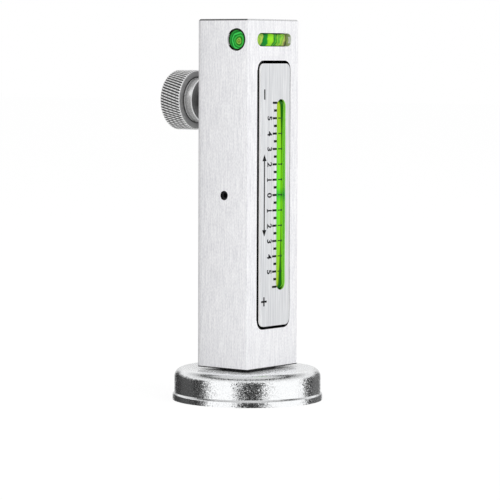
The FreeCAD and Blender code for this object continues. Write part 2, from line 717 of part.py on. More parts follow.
def camber_carrier():
    """Fixed block: ears on the pivot screw, a boss on the back wall, a pocket for the spring."""
    body = new_body("camber_carrier", scale_place())
    carrier_block(body, "0", CAMBER_LENGTH)
    pivot_ears(body, EAR_OUTER, PIVOT_Y)
    vial_seat(body, "0", "dims.camber_window_length")
    rear = "dims.carrier_rear"
    ear_room = "2 * (dims.ear_radius + dims.ear_gap)"
    relief = f"dims.ear_radius - {PIVOT_Y} + dims.ear_gap - {rear}"
    sketch = new_sketch(body, "XZ_Plane", rear)
    for side in ("-", ""):
        middle = f"{side}({INNER_EAR_OUTER} - dims.ear_width / 2)"
        draw_rectangle(sketch, middle, "0", "(dims.ear_width + 2 * dims.ear_gap)", ear_room)
    pocket(body, sketch, relief, reverse=True)
    sketch = new_sketch(body, "XZ_Plane", rear)
    draw_circle(sketch, "-dims.spring_offset", "dims.screw_height", "dims.spring_pocket")
    pocket(body, sketch, "dims.spring_pocket_depth", reverse=True)
    sketch = new_sketch(body, "XZ_Plane", rear)
    draw_circle(sketch, "0", "dims.lock_height", "dims.lock_boss_diameter")
    pad(body, sketch, f"{rear} + {HALF_DEPTH} - dims.back_wall", reverse=True)
    sketch = new_sketch(body, "XZ_Plane", f"{rear} + dims.lock_tip_depth")
    draw_circle(sketch, "0", "dims.lock_height", "dims.lock_diameter")
    pocket(body, sketch, "dims.housing_depth")
    return body


def caster_carrier():
    """Tilting block: inner ears on the pivot screw and an arm up to the adjusting screw."""
    body = new_body("caster_carrier", scale_place(), HALF_TURN)
    carrier_block(body, CASTER_MIDDLE, CASTER_LENGTH)
    arm_top = "dims.screw_height + dims.arm_reach"
    arm_bottom = f"{CASTER_TOP} - dims.arm_overlap"
    sketch = new_sketch(body, "XZ_Plane", ARM_OUTER)
    draw_rectangle(sketch, "0", f"({arm_top} + {arm_bottom}) / 2", "dims.arm_width",
                   f"({arm_top} - ({arm_bottom}))")
    pad(body, sketch, "dims.arm_thickness", reverse=True)
    pivot_ears(body, INNER_EAR_OUTER, f"-{PIVOT_Y}")
    vial_seat(body, CASTER_MIDDLE, "dims.caster_window_length")
    return body


# Pivot, screws and knob

def pivot_screw():
    """Headless screw across the housing that both carriers hang on."""
    radius = "dims.pivot_diameter / 2"
    body = turned("pivot_screw", [
        ("0", "0"), (radius, "0"), (radius, f"{PIVOT_END} - {PIVOT_START}"),
        ("0", f"{PIVOT_END} - {PIVOT_START}")],
        (PIVOT_START, PIVOT_Y, PIVOT_Z), X_FROM_Z)
    hex_socket(body, "XY_Plane", None, "0", "0", reverse=True)
    return body


def camber_lock_screw():
    """Countersunk screw from the back wall into the camber carrier's boss."""
    shank = "dims.lock_diameter / 2"
    tip = "-(dims.carrier_rear + dims.lock_tip_depth)"
    length = f"{HALF_DEPTH} - {tip}"
    head_start = f"{length} - dims.lock_head"
    body = turned("camber_lock_screw", [
        ("0", "0"), (shank, "0"), (shank, head_start), (f"{shank} + dims.lock_head", length),
        ("0", length)],
        ("dims.cutout_offset", tip, f"{PIVOT_Z} + dims.lock_height"), Y_FROM_Z)
    hex_socket(body, "XY_Plane", length, "0", "0", reverse=False)
    return body


def screw_place(start):
    """A place on the adjusting screw's axis."""
    return ("0", start, SCREW_Z)


def screw_bush():
    """Threaded bush with a flange on the back of the housing."""
    bore = "dims.screw_diameter / 2 + dims.running_clearance"
    shank, flange = "dims.bush_diameter / 2", "dims.bush_flange_diameter / 2"
    length = "dims.back_wall + dims.bush_flange"
    body = turned("screw_bush", [
        (bore, "0"), (shank, "0"), (shank, "dims.back_wall"), (flange, "dims.back_wall"),
        (flange, length), (bore, length)],
        screw_place(f"{HALF_DEPTH} - dims.back_wall"), Y_FROM_Z)
    dress_edges(body, "Chamfer", "dims.bush_chamfer", ring_at(flange, length))
    return body


def thrust_pad():
    """Crowned button on the screw's tip, with a socket for it."""
    outer = "dims.pad_diameter / 2"
    socket = "dims.screw_tip_diameter / 2 + dims.running_clearance"
    floor = "dims.pad_thickness - dims.pad_socket"
    return turned("thrust_pad", [
        ("0", "0"), ("dims.pad_crown_diameter / 2", "0"), (outer, "dims.pad_crown_height"),
        (outer, "dims.pad_thickness"), (socket, "dims.pad_thickness"), (socket, floor),
        ("0", floor)],
        screw_place(PAD_TIP), Y_FROM_Z)


def adjusting_screw():
    """Screw with a plain tip, from the thrust pad to inside the knob."""
    tip, shank = "dims.screw_tip_diameter / 2", "dims.screw_diameter / 2"
    length = f"{HUB_START} + dims.knob_bore_depth - {SCREW_TIP}"
    return turned("adjusting_screw", [
        ("0", "0"), (tip, "0"), (tip, "dims.screw_tip_length"),
        (shank, "dims.screw_tip_length"), (shank, length), ("0", length)],
        screw_place(SCREW_TIP), Y_FROM_Z)


def adjusting_knob():
    """Round knob with a smaller hub towards the housing and a dished outer face."""
    bore, hub = "dims.screw_diameter / 2", "dims.hub_diameter / 2"
    rim, dish = "dims.knob_diameter / 2", "dims.knob_dish_diameter / 2"
    length = "dims.hub_length + dims.knob_width"
    body = turned("adjusting_knob", [
        (bore, "0"), (hub, "0"), (hub, "dims.hub_length"), (rim, "dims.hub_length"),
        (rim, length), (dish, length), (dish, f"{length} - dims.knob_dish_depth"),
        ("0", f"{length} - dims.knob_dish_depth"), ("0", "dims.knob_bore_depth"),
        (bore, "dims.knob_bore_depth")],
        screw_place(HUB_START), Y_FROM_Z)
    dress_edges(body, "Chamfer", "dims.hub_chamfer", ring_at(hub, "0"))
    dress_edges(body, "Chamfer", "dims.knob_chamfer", ring_at(rim, "dims.hub_length"))
    dress_edges(body, "Chamfer", "dims.knob_chamfer", ring_at(rim, length))
    sketch = new_sketch(body, "XZ_Plane")
    draw_circle(sketch, "0", "dims.hub_length / 2", "dims.set_screw_diameter")
    pocket(body, sketch, "dims.hub_diameter", reverse=True)
    return body


def knob_set_screw():
    """Headless screw in the hub that bears on the adjusting screw."""
    radius = "dims.set_screw_diameter / 2"
    body = turned("knob_set_screw", [
        ("0", "0"), (radius, "0"), (radius, "dims.set_screw_length"),
        ("0", "dims.set_screw_length")],
        ("0", f"{HUB_START} + dims.hub_length / 2", f"{SCREW_Z} + dims.screw_diameter / 2"))
    hex_socket(body, "XY_Plane", "dims.set_screw_length", "0", "0", reverse=False)
    return body


# Springs

def coil_spring(label, diameter, wire, length, place, rotation):
    """A helix of wire with six flat sides, one loft through a section at each step."""
    coil_radius = (number(diameter) - number(wire)) / 2
    wire_radius = number(wire) / 2
    rise = number(length) - number(wire)
    steps = SPRING_TURNS * SPRING_STEPS
    sections = []
    for step in range(steps + 1):
        angle = 2 * math.pi * step / SPRING_STEPS
        outward = Vector(math.cos(angle), math.sin(angle), 0)
        centre = outward * coil_radius + Vector(0, 0, wire_radius + rise * step / steps)
        corners = []
        for side in range(WIRE_SIDES):
            turn = 2 * math.pi * side / WIRE_SIDES + math.pi / 2
            corners.append(centre + outward * (wire_radius * math.cos(turn))
                           + Vector(0, 0, wire_radius * math.sin(turn)))
        sections.append(Part.makePolygon(corners + corners[:1]))
    spring = doc.addObject("Part::Feature", label)
    spring.Label = label
    spring.Shape = Part.makeLoft(sections, True, True)
    spring.Placement = FreeCAD.Placement(Vector(*[number(item) for item in place]), rotation)
    return spring


def plunger_spring():
    """Pushes the plunger out of the magnet."""
    diameter = "dims.bolt_bore - 0.6"
    return coil_spring("plunger_spring", diameter, "dims.plunger_wire",
                       f"{THREAD_ROOM_TOP} - {COLLAR_TOP}", ("0", "0", COLLAR_TOP),
                       FreeCAD.Rotation())


def return_spring():
    """Presses the arm of the caster carrier against the thrust pad."""
    start = "-(dims.carrier_rear + dims.spring_pocket_depth)"
    return coil_spring("return_spring", "dims.spring_diameter", "dims.spring_wire",
                       f"{ARM_INNER} - {start}",
                       ("dims.cutout_offset - dims.spring_offset", start, SCREW_Z), Y_FROM_Z)


nodes = [
    magnet_cup(), ring_magnet(), magnet_filler(), pole_piece(), spacer_washer(), centre_bolt(),
    plunger(), plunger_spring(), housing(), *level_vial_parts(),
    camber_carrier(),
    scale_plate("camber_scale_plate", None, "0", CAMBER_LENGTH, "dims.camber_window_length"),
    *scale_vial_parts("camber", "+", "0", "dims.camber_window_length", None),
    caster_carrier(),
    scale_plate("caster_scale_plate", HALF_TURN, CASTER_MIDDLE, CASTER_LENGTH,
                "dims.caster_window_length"),
    *scale_vial_parts("caster", "-", CASTER_MIDDLE, "dims.caster_window_length", HALF_TURN),
    pivot_screw(), camber_lock_screw(), screw_bush(), thrust_pad(), adjusting_screw(),
    adjusting_knob(), knob_set_screw(), return_spring(),
]
doc.recompute()

failed = [item.Name for item in doc.Objects if {"Invalid", "Error"} & set(item.State)]
if failed:
    raise RuntimeError(f"failed objects: {failed}")
for node in nodes:
    if node.Shape.isNull() or not node.Shape.isValid() or len(node.Shape.Solids) != 1:
        raise RuntimeError(f"{node.Label} is not one valid solid")

os.makedirs("parts", exist_ok=True)
for node in nodes:
    node.Shape.exportStep(f"parts/{node.Label}.step")
print(f"{len(nodes)} nodes written")
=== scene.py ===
import json
import math

import bmesh
import bpy
from mathutils import Matrix, Vector


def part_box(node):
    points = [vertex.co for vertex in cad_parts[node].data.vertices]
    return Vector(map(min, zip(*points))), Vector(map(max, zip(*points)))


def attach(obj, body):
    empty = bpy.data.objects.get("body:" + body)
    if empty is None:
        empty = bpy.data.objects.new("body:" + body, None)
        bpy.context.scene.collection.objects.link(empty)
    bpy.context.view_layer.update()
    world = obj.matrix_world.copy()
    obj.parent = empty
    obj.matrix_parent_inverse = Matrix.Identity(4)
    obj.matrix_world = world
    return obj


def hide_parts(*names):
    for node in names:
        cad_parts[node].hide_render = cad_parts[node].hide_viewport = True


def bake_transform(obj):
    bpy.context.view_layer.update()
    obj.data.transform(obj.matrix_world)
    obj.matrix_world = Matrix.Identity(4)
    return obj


# The looks of the camber caster gauge: camera, light, a procedural material for each finish,
# and the detail that the solids leave out, such as the knurl, the threads and the scales' ink.
# Lengths are in metres in the frame of the solids: +Z up along the bar, the camber scale
# faces -Y, the caster scale and the knob face +Y.

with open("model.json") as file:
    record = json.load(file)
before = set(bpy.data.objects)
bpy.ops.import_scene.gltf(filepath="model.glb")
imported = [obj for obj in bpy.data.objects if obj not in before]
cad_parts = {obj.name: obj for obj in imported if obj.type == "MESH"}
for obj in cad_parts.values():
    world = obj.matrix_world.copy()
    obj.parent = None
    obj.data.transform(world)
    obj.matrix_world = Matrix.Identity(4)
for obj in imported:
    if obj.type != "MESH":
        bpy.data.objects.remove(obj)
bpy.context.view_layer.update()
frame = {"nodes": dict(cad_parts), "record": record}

MM = 0.001

# Camera: where it stands, how it is turned off the line to the bar, and its lens.
CAMERA_DISTANCE = 1076.2 * MM
CAMERA_HEIGHT = 136.3 * MM
CAMERA_TURN = math.radians(52.2)
CAMERA_PAN = 0.00077
CAMERA_TILT = 0.07104
CAMERA_ROLL = 0.0039
CAMERA_LENS = 194.4
SENSOR_WIDTH = 36

# Light: the even light round the object, the white floor's own glow, and the lamps.
AMBIENT = 0.86
FLOOR_REACH = 6.0
FLOOR_DROP = 0.05 * MM
FLOOR_GREY = (0.9, 0.9, 0.9)
FLOOR_GLOW = 1.03
FLOOR_GLOW_SHARE = 0.86
LAMP_SIZE = 1.4
LAMP_DISTANCE = 2.0
LAMP_AIM = 80 * MM

# The studio that metal reflects, as stops of brightness: PANELS goes once round the horizon,
# CEILING from straight down to straight up, and CEILING_SHARE says where the second takes over.
DARK, BRIGHT = 0.04, 1.1
PANELS = [(0.0, 0.08), (0.09, 0.08), (0.11, DARK), (0.155, DARK), (0.187, BRIGHT),
          (0.300, BRIGHT), (0.328, DARK), (0.416, DARK), (0.444, BRIGHT), (0.625, BRIGHT),
          (0.653, DARK), (0.69, DARK), (0.71, 0.16), (0.77, 0.16), (0.79, DARK), (0.81, 0.75),
          (0.90, 0.75), (0.92, DARK)]
CEILING = [(0.0, 1.0), (0.72, 1.0), (0.81, 0.7), (0.86, 0.5), (0.88, 0.08), (0.92, 0.08),
           (0.95, 0.7)]
CEILING_SHARE = [(0.0, 0.0), (0.60, 0.0), (0.70, 1.0)]

# Colours
WHITE = (1, 1, 1)
# Near-black painted shade, laid where gaps, holes and the bar's bottom edge lie in shadow
PAINTED_SHADE_BLACK = (0.006, 0.006, 0.007)
# Painted highlight on the plates' cut edges
CUT_EDGE_HIGHLIGHT = (0.97, 0.97, 0.97)
BAR_GRAIN = [(0.34, (0.70, 0.70, 0.73)), (0.5, (0.82, 0.82, 0.84)), (0.66, (0.94, 0.94, 0.95))]
PLATE_GRAIN = [(0.3, (0.64, 0.65, 0.67)), (0.5, (0.76, 0.77, 0.79)), (0.7, (0.90, 0.91, 0.92))]

# Painted shade on the bar's sides: their brightness from front to back, to be multiplied by
# SIDE_SCALE.
PAINTED_SIDE_SHADE = [(0.0, 0.93), (0.012, 0.84), (0.03, 0.85), (0.05, 0.88), (0.10, 0.86),
              (0.5, 0.825), (0.85, 0.78), (0.93, 0.74), (0.965, 0.64), (1.0, 0.42)]
SIDE_SCALE = 1.23

# Colours across a long vial's window, in its middle and at its ends, with painted refraction and
# shade across the round tube, and its dark streak, a painted refraction of the dark carrier
# behind.
WINDOW_WIDTH = 5.7 * MM
TUBE_MIDDLE = [(0.1, (0.10, 0.52, 0.04)), (0.2, (0.11, 0.66, 0.02)), (0.36, (0.15, 0.64, 0.02)),
               (0.46, (0.11, 0.42, 0.004)), (0.56, (0.16, 0.50, 0.01)),
               (0.68, (0.09, 0.40, 0.004)), (0.85, (0.16, 0.56, 0.05))]
TUBE_END = [(0.1, (0.38, 0.48, 0.05)), (0.2, (0.32, 0.47, 0.015)), (0.36, (0.29, 0.43, 0.006)),
            (0.46, (0.22, 0.40, 0.003)), (0.56, (0.10, 0.38, 0.002)),
            (0.68, (0.12, 0.46, 0.012)), (0.85, (0.24, 0.63, 0.06))]
TUBE_PAINTED_REFRACTION = (0.001, 0.09, 0.0)
ZERO_BAND = (0.22, 0.62, 1.0)
ZERO_BAND_REACH = 3.0 * MM

# The painted refraction streak's half width, place across and depth, each at half height and at
# the top
STREAK_SPREAD = (0.03, 0.31)
STREAK_PLACE = (0.49, 0.555)
STREAK_DEPTH = (0.25, 1.15)
STREAK_DEEPEST = 0.99

# Colours of the level vial, as painted caustics: outwards on its round end, and along its side.
# LEVEL_RIM and LEVEL_SIDE_EDGE are painted shade at the round end's rim and the side's edges.
LEVEL_END = [(0.05, (0.50, 0.60, 0.12)), (0.22, (0.30, 0.60, 0.08)), (0.4, (0.05, 0.50, 0.05)),
             (0.7, (0.07, 0.72, 0.12)), (0.95, (0.03, 0.36, 0.05))]
LEVEL_RING = (0.002, 0.08, 0.01)
LEVEL_RIM = (0.015, 0.03, 0.01)
LEVEL_SIDE = [
    (0.24, (0.22, 0.60, 0.04)), (0.30, (0.48, 0.60, 0.10)), (0.34, (0.20, 0.45, 0.05)),
    (0.38, (0.45, 0.58, 0.10)), (0.41, (0.01, 0.20, 0.03)), (0.52, (0.01, 0.26, 0.03)),
    (0.55, (0.30, 0.70, 0.02)), (0.66, (0.30, 0.72, 0.03)), (0.69, (0.02, 0.15, 0.02)),
    (0.72, (0.10, 0.50, 0.04)), (0.745, (0.02, 0.17, 0.02)), (0.78, (0.28, 0.62, 0.04)),
    (0.81, (0.08, 0.40, 0.04)), (0.85, (0.36, 0.62, 0.06)), (0.90, (0.14, 0.42, 0.05)),
    (0.95, (0.45, 0.52, 0.12)), (0.99, (0.12, 0.14, 0.06))]
LEVEL_SIDE_EDGE = (0.01, 0.06, 0.01)

# The level vial's painted caustics and shade: its bright spot off its middle, its rings, its rim
# of painted shade, and its side's bands
LEVEL_SPOT = (-1.0 * MM, -0.5 * MM)
LEVEL_END_RADIUS = 4.5 * MM
LEVEL_RING_STEP = 0.12
LEVEL_RIM_RADIUS = 3.62 * MM
LEVEL_SIDE_HALF = 2.3 * MM
LEVEL_END_DEPTH = 0.9 * MM
BAND_SLANT = 12.0

# The height of the metals' grain, and how far a surface that counts as flat faces one way
GRAIN_HEIGHT = 0.02 * MM
FLAT = 0.97

# Where the bar is painted near-black as painted shade: the walls of the cut-out round the
# carrier, the painted shadow line along their front edge with its distance to the corners, the
# bottom edge and the pivot hole.
CUTOUT_ROOM = 1.25 * MM
WALL_REACH = 12.45 * MM
LIP_HALF = 0.2 * MM
LIP_CORNER = 2.6 * MM
BOTTOM_EDGE = 0.4 * MM
HOLE_ROOM = 0.5 * MM
HOLE_EDGE = 0.1 * MM

# The plates' cut edges: half the vial's window, the depth of the others' front part, which gets
# a painted highlight and glow while deeper in is painted shade, and the strength of that painted
# glow
WINDOW_HALF = 3.0 * MM
BRIGHT_EDGE = 0.5 * MM
PAINTED_CUT_GLOW = 0.35

# The cup's plating: its grains for each metre and how far they tilt
CUP_GRAINS = 3000
CUP_TILT = 0.5

# Scales
DEGREE = 6.08 * MM
CASTER_STEP = 5.6 * MM
MAJOR_TICK = (-1.75 * MM, 0.88 * MM)
MINOR_TICK = (-0.95 * MM, 0.88 * MM)
END_TICK = (-1.75 * MM, 1.23 * MM)
MAJOR_WIDTH = 0.85 * MM
MINOR_WIDTH = 0.95 * MM
INK = 0.03 * MM
DIGIT_SIZE = 3.9 * MM
DIGIT_WEIGHT = 0.10 * MM
DIGIT_MIDDLE = -3.8 * MM
SERIF = -5.1 * MM
SERIF_SIZE = (0.4 * MM, 1.5 * MM)
SIGN_MIDDLE = -7.0 * MM
SIGN_STROKE = 0.75 * MM
SIGN_HEIGHT = {"minus": 39.8 * MM, "plus": -42.0 * MM}
MINUS_LENGTH = 4.0 * MM
PLUS_LENGTH = 3.6 * MM
ARROW_STROKE = 0.6 * MM
ARROW_REACH = 13.6 * MM
ARROW_HEAD = (1.3 * MM, 2.6 * MM)

# The scales' lines over the vials: thin, with a wider end
LINE_THICKNESS = 0.03 * MM
LINE_WIDTH = 0.42 * MM
LINE_END_WIDTH = 0.8 * MM
LINE_PIECES = 8
LINE_END_PIECES = 2
LINE_START, LINE_STOP = math.radians(-24), math.radians(7)

# Knob
RIDGES = 64
RIDGE_STEPS = 8
KNURL_STEPS = 56
RIDGE_ANGLE = math.radians(16)
RIDGE_DEPTH = 0.5 * MM
CROSS_DEPTH = 0.26 * MM
KNOB_CHAMFER = 0.5 * MM
KNOB_EDGE = 0.3 * MM
HUB_LENGTH = 3.9 * MM
HUB_RADIUS = 8.95 * MM
BORE_RADIUS = 2.95 * MM
BORE_DEPTH = 10.4 * MM
DISH_RADIUS = 8.5 * MM
DISH_DEPTH = 0.5 * MM
SET_HOLE_RADIUS = 1.5 * MM
SET_HOLE_LENGTH = 12 * MM
SET_HOLE_MIDDLE = 7.5 * MM

# Adjusting screw
THREAD_PITCH = 1.0 * MM
THREAD_DEPTH = 0.5 * MM
THREAD_SIDES = 28
PITCH_STEPS = 8
TIP_RADIUS = 1.8 * MM
TIP_LENGTH = 1.6 * MM
TIP_EDGE = 0.3 * MM

# Springs, with the outer diameter and the wire of each
SPRING_TURNS = 5
SPRING_STEPS = 24
WIRE_SIDES = 10
RETURN_COIL = (4.8 * MM, 0.6 * MM)
PLUNGER_COIL = (7.4 * MM, 0.7 * MM)


# Node trees

class Graph:
    """Adds nodes to a node tree. A value is a number, a colour or another node's output."""

    def __init__(self, tree):
        self.nodes, self.links = tree.nodes, tree.links

    def add(self, kind, **settings):
        """A new shader node with its settings."""
        node = self.nodes.new("ShaderNode" + kind)
        for name, value in settings.items():
            setattr(node, name, value)
        return node

    def feed(self, socket, value):
        """Give a socket its value."""
        if isinstance(value, bpy.types.NodeSocket):
            self.links.new(value, socket)
        elif isinstance(value, tuple) and socket.type == "RGBA":
            socket.default_value = (*value, 1)
        else:
            socket.default_value = value

    def math(self, operation, *values):
        """The result of a math node."""
        node = self.add("Math", operation=operation)
        for socket, value in zip(node.inputs, values):
            self.feed(socket, value)
        return node.outputs[0]

    def vector(self, operation, *values, result=0):
        """The result of a vector math node."""
        node = self.add("VectorMath", operation=operation)
        for socket, value in zip(node.inputs, values):
            self.feed(socket, value)
        return node.outputs[result]

    def parts(self, vector):
        """The X, Y and Z of a vector."""
        node = self.add("SeparateXYZ")
        self.feed(node.inputs[0], vector)
        return node.outputs

    def ramp(self, factor, stops):
        """A pattern led through a colour ramp; a stop is a position and a grey or a colour."""
        node = self.add("ValToRGB")
        elements = node.color_ramp.elements
        while len(elements) > 1:
            elements.remove(elements[-1])
        for i, (place, colour) in enumerate(stops):
            if isinstance(colour, (int, float)):
                colour = (colour, colour, colour)
            stop = elements[0] if i == 0 else elements.new(place)
            stop.position = place
            stop.color = (*colour, 1)
        self.feed(node.inputs["Fac"], factor)
        return node.outputs["Color"]

    def mix(self, factor, first, second, blend_type="MIX"):
        """Two colours mixed: the second where the factor is 1."""
        node = self.add("Mix", data_type="RGBA", blend_type=blend_type)
        self.feed(node.inputs["Factor"], factor)
        self.feed(node.inputs["A"], first)
        self.feed(node.inputs["B"], second)
        return node.outputs["Result"]

    def surface(self, kind, colour, strength=None):
        """A plain shader of one colour."""
        node = self.add(kind)
        self.feed(node.inputs["Color"], colour)
        if strength is not None:
            self.feed(node.inputs["Strength"], strength)
        return node.outputs[0]

    def mix_surfaces(self, factor, first, second):
        """Two shaders mixed: the second where the factor is 1."""
        node = self.add("MixShader")
        for socket, value in zip(node.inputs, (factor, first, second)):
            self.feed(socket, value)
        return node.outputs[0]

    def finish(self, kind, surface):
        """Lead a shader to the tree's output."""
        self.feed(self.add(kind).inputs["Surface"], surface)


# Camera, world, floor and lamps

def add_camera():
    """The photograph's view: a long lens, a little above the middle of the bar."""
    heading = CAMERA_TURN + CAMERA_PAN
    place = Vector((-math.sin(CAMERA_TURN) * CAMERA_DISTANCE,
                    -math.cos(CAMERA_TURN) * CAMERA_DISTANCE, CAMERA_HEIGHT))
    forward = Vector((math.sin(heading) * math.cos(CAMERA_TILT),
                      math.cos(heading) * math.cos(CAMERA_TILT), -math.sin(CAMERA_TILT)))
    right = forward.cross(Vector((0, 0, 1))).normalized()
    upward = right.cross(forward)
    roll = Matrix.Rotation(-CAMERA_ROLL, 3, forward)
    right, upward = roll @ right, roll @ upward
    camera = bpy.data.objects.new("camera", bpy.data.cameras.new("camera"))
    camera.data.lens = CAMERA_LENS
    camera.data.sensor_width = SENSOR_WIDTH
    camera.data.clip_start, camera.data.clip_end = 0.05, 50
    turn = Matrix((right, upward, -forward)).transposed()
    camera.matrix_world = Matrix.Translation(place) @ turn.to_4x4()
    bpy.context.scene.collection.objects.link(camera)
    bpy.context.scene.camera = camera


def add_world():
    """Even light for everything, white behind, and a studio of soft panels in reflections."""
    world = bpy.data.worlds.new("studio")
    bpy.context.scene.world = world
    world.use_nodes = True
    graph = Graph(world.node_tree)
    graph.nodes.clear()
    direction = graph.parts(graph.add("TexCoord").outputs["Generated"])
    turn = graph.math("ARCTAN2", direction["X"], graph.math("MULTIPLY", direction["Y"], -1))
    around = graph.math("MULTIPLY_ADD", turn, 0.5 / math.pi, 0.5)
    height = graph.math("MULTIPLY_ADD", direction["Z"], 0.5, 0.5)
    reflected = graph.mix(graph.ramp(height, CEILING_SHARE), graph.ramp(around, PANELS),
                          graph.ramp(height, CEILING))
    ray = graph.add("LightPath").outputs
    seen = graph.math("MAXIMUM", ray["Is Camera Ray"], ray["Is Transmission Ray"])
    behind = graph.mix_surfaces(seen, graph.surface("Background", WHITE, AMBIENT),
                                graph.surface("Background", WHITE))
    graph.finish("OutputWorld", graph.mix_surfaces(
        ray["Is Glossy Ray"], behind, graph.surface("Background", reflected)))


def add_floor():
    """A plain white table that keeps a faint shadow of the object."""
    mesh = bpy.data.meshes.new("floor")
    mesh.from_pydata([(-FLOOR_REACH, -FLOOR_REACH, 0), (FLOOR_REACH, -FLOOR_REACH, 0),
                      (FLOOR_REACH, FLOOR_REACH, 0), (-FLOOR_REACH, FLOOR_REACH, 0)],
                     [], [(0, 1, 2, 3)])
    floor = bpy.data.objects.new("floor", mesh)
    bpy.context.scene.collection.objects.link(floor)
    floor.location.z = -FLOOR_DROP
    floor.visible_glossy = False
    material = bpy.data.materials.new("floor_white")
    material.use_nodes = True
    graph = Graph(material.node_tree)
    graph.nodes.clear()
    seen = graph.math("MULTIPLY", graph.add("LightPath").outputs["Is Camera Ray"],
                      FLOOR_GLOW_SHARE)
    graph.finish("OutputMaterial", graph.mix_surfaces(
        seen, graph.surface("BsdfDiffuse", FLOOR_GREY),
        graph.surface("Emission", WHITE, FLOOR_GLOW)))
    mesh.materials.append(material)


def add_lamp(name, power, turn, height):
    """A soft square lamp aimed at the middle of the bar; turn is measured from the camera."""
    lamp = bpy.data.objects.new(name, bpy.data.lights.new(name, "AREA"))
    lamp.data.energy = power
    lamp.data.size = LAMP_SIZE
    bearing = turn - CAMERA_TURN
    back = Vector((math.sin(bearing), -math.cos(bearing), height)).normalized()
    lamp.location = Vector((0, 0, LAMP_AIM)) + back * LAMP_DISTANCE
    lamp.rotation_euler = back.to_track_quat("Z", "Y").to_euler()
    lamp.visible_glossy = False
    bpy.context.scene.collection.objects.link(lamp)


# Materials

class Finish(Graph):
    """A material with one Principled shader, and patterns in the object's own coordinates."""

    def __init__(self, name, colour, metallic, roughness):
        self.material = bpy.data.materials.new(name)
        self.material.use_nodes = True
        super().__init__(self.material.node_tree)
        self.shader = self.nodes["Principled BSDF"].inputs
        self.set("Base Color", colour)
        self.set("Metallic", metallic)
        self.set("Roughness", roughness)

    def set(self, name, value):
        """Give the shader one of its values."""
        self.feed(self.shader[name], value)

    def place(self):
        """The point's place on the object."""
        return self.add("TexCoord").outputs["Object"]

    def stretched(self, stretch):
        """The point's place, scaled by a factor for each axis."""
        mapping = self.add("Mapping")
        self.feed(mapping.inputs["Scale"], stretch)
        self.feed(mapping.inputs["Vector"], self.place())
        return mapping.outputs["Vector"]

    def noise(self, stretch, detail):
        """Noise; stretch is in spots for each metre."""
        node = self.add("TexNoise")
        self.feed(node.inputs["Scale"], 1.0)
        self.feed(node.inputs["Detail"], detail)
        self.feed(node.inputs["Vector"], self.stretched(stretch))
        return node.outputs["Fac"]

    def vary(self, name, pattern, low, high):
        """Lead the middle of a noise pattern into a number of the shader."""
        node = self.add("MapRange")
        for socket, value in (("From Min", 0.3), ("From Max", 0.7), ("To Min", low),
                              ("To Max", high), ("Value", pattern)):
            self.feed(node.inputs[socket], value)
        self.set(name, node.outputs["Result"])

    def emboss(self, pattern, strength):
        """Lead a pattern into the shader's normal as a bump."""
        node = self.add("Bump")
        self.feed(node.inputs["Strength"], strength)
        self.feed(node.inputs["Distance"], GRAIN_HEIGHT)
        self.feed(node.inputs["Height"], pattern)
        self.set("Normal", node.outputs["Normal"])

    def facing(self):
        """How far the surface faces along X, Y and Z, either way."""
        return self.parts(self.vector("ABSOLUTE", self.add("NewGeometry").outputs["Normal"]))

    def within(self, value, middle, half):
        """1 where a value is nearer to its middle than half, and 0 elsewhere."""
        return self.math("LESS_THAN", self.math(
            "ABSOLUTE", self.math("SUBTRACT", value, middle)), half)

    def beside(self, spot, node, axis, margin):
        """1 where a coordinate is inside a solid's box grown by a margin, and 0 elsewhere."""
        low, high = (getattr(corner, axis.lower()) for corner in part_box(node))
        return self.within(spot[axis], (low + high) / 2, (high - low) / 2 + margin)

    def both(self, *masks):
        """1 where all the masks are 1."""
        result = masks[0]
        for mask in masks[1:]:
            result = self.math("MULTIPLY", result, mask)
        return result

    def either(self, *masks):
        """1 where one of the masks is 1."""
        result = masks[0]
        for mask in masks[1:]:
            result = self.math("MAXIMUM", result, mask)
        return result

    def share(self, value, low, high):
        """Where a value lies between low, which gives 0, and high, which gives 1."""
        return self.math("MULTIPLY_ADD", value, 1 / (high - low), -low / (high - low))

    def between(self, share, low, high):
        """A value that goes from low, where the share is 0, to high, where it is 1."""
        return self.math("MULTIPLY_ADD", share, high - low, low)

    def base(self):
        """What is led into the base colour so far."""
        return self.shader["Base Color"].links[0].from_socket

    def tint(self, mask, colour):
        """Lay a second colour over the base colour where the mask is 1."""
        self.set("Base Color", self.mix(mask, self.base(), colour))

    def polish(self, mask, metallic, roughness):
        """Lead a mask into two numbers of the shader, each with its values for 0 and for 1."""
        for name, (low, high) in (("Metallic", metallic), ("Roughness", roughness)):
            self.set(name, self.between(mask, low, high))

    def glow(self, colour):
        """Lead a colour into both the base colour and the painted glow."""
        self.set("Base Color", colour)
        self.set("Emission Color", colour)
        return self.material


def shade_sides(bar, y):
    """Paint shade on the sides that face X: their base colour grows darker from the front to the
    back.
    """
    low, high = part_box("housing")
    shade = bar.ramp(bar.share(y, low.y, high.y), PAINTED_SIDE_SHADE)
    on_side = bar.math("GREATER_THAN", bar.facing()["X"], 0.5)
    change = bar.math("MULTIPLY_ADD", shade, SIDE_SCALE, -1.0)
    scale = bar.add("VectorMath", operation="SCALE")
    bar.feed(scale.inputs[0], bar.base())
    bar.feed(scale.inputs["Scale"], bar.math("MULTIPLY_ADD", on_side, change, 1.0))
    bar.set("Base Color", scale.outputs[0])


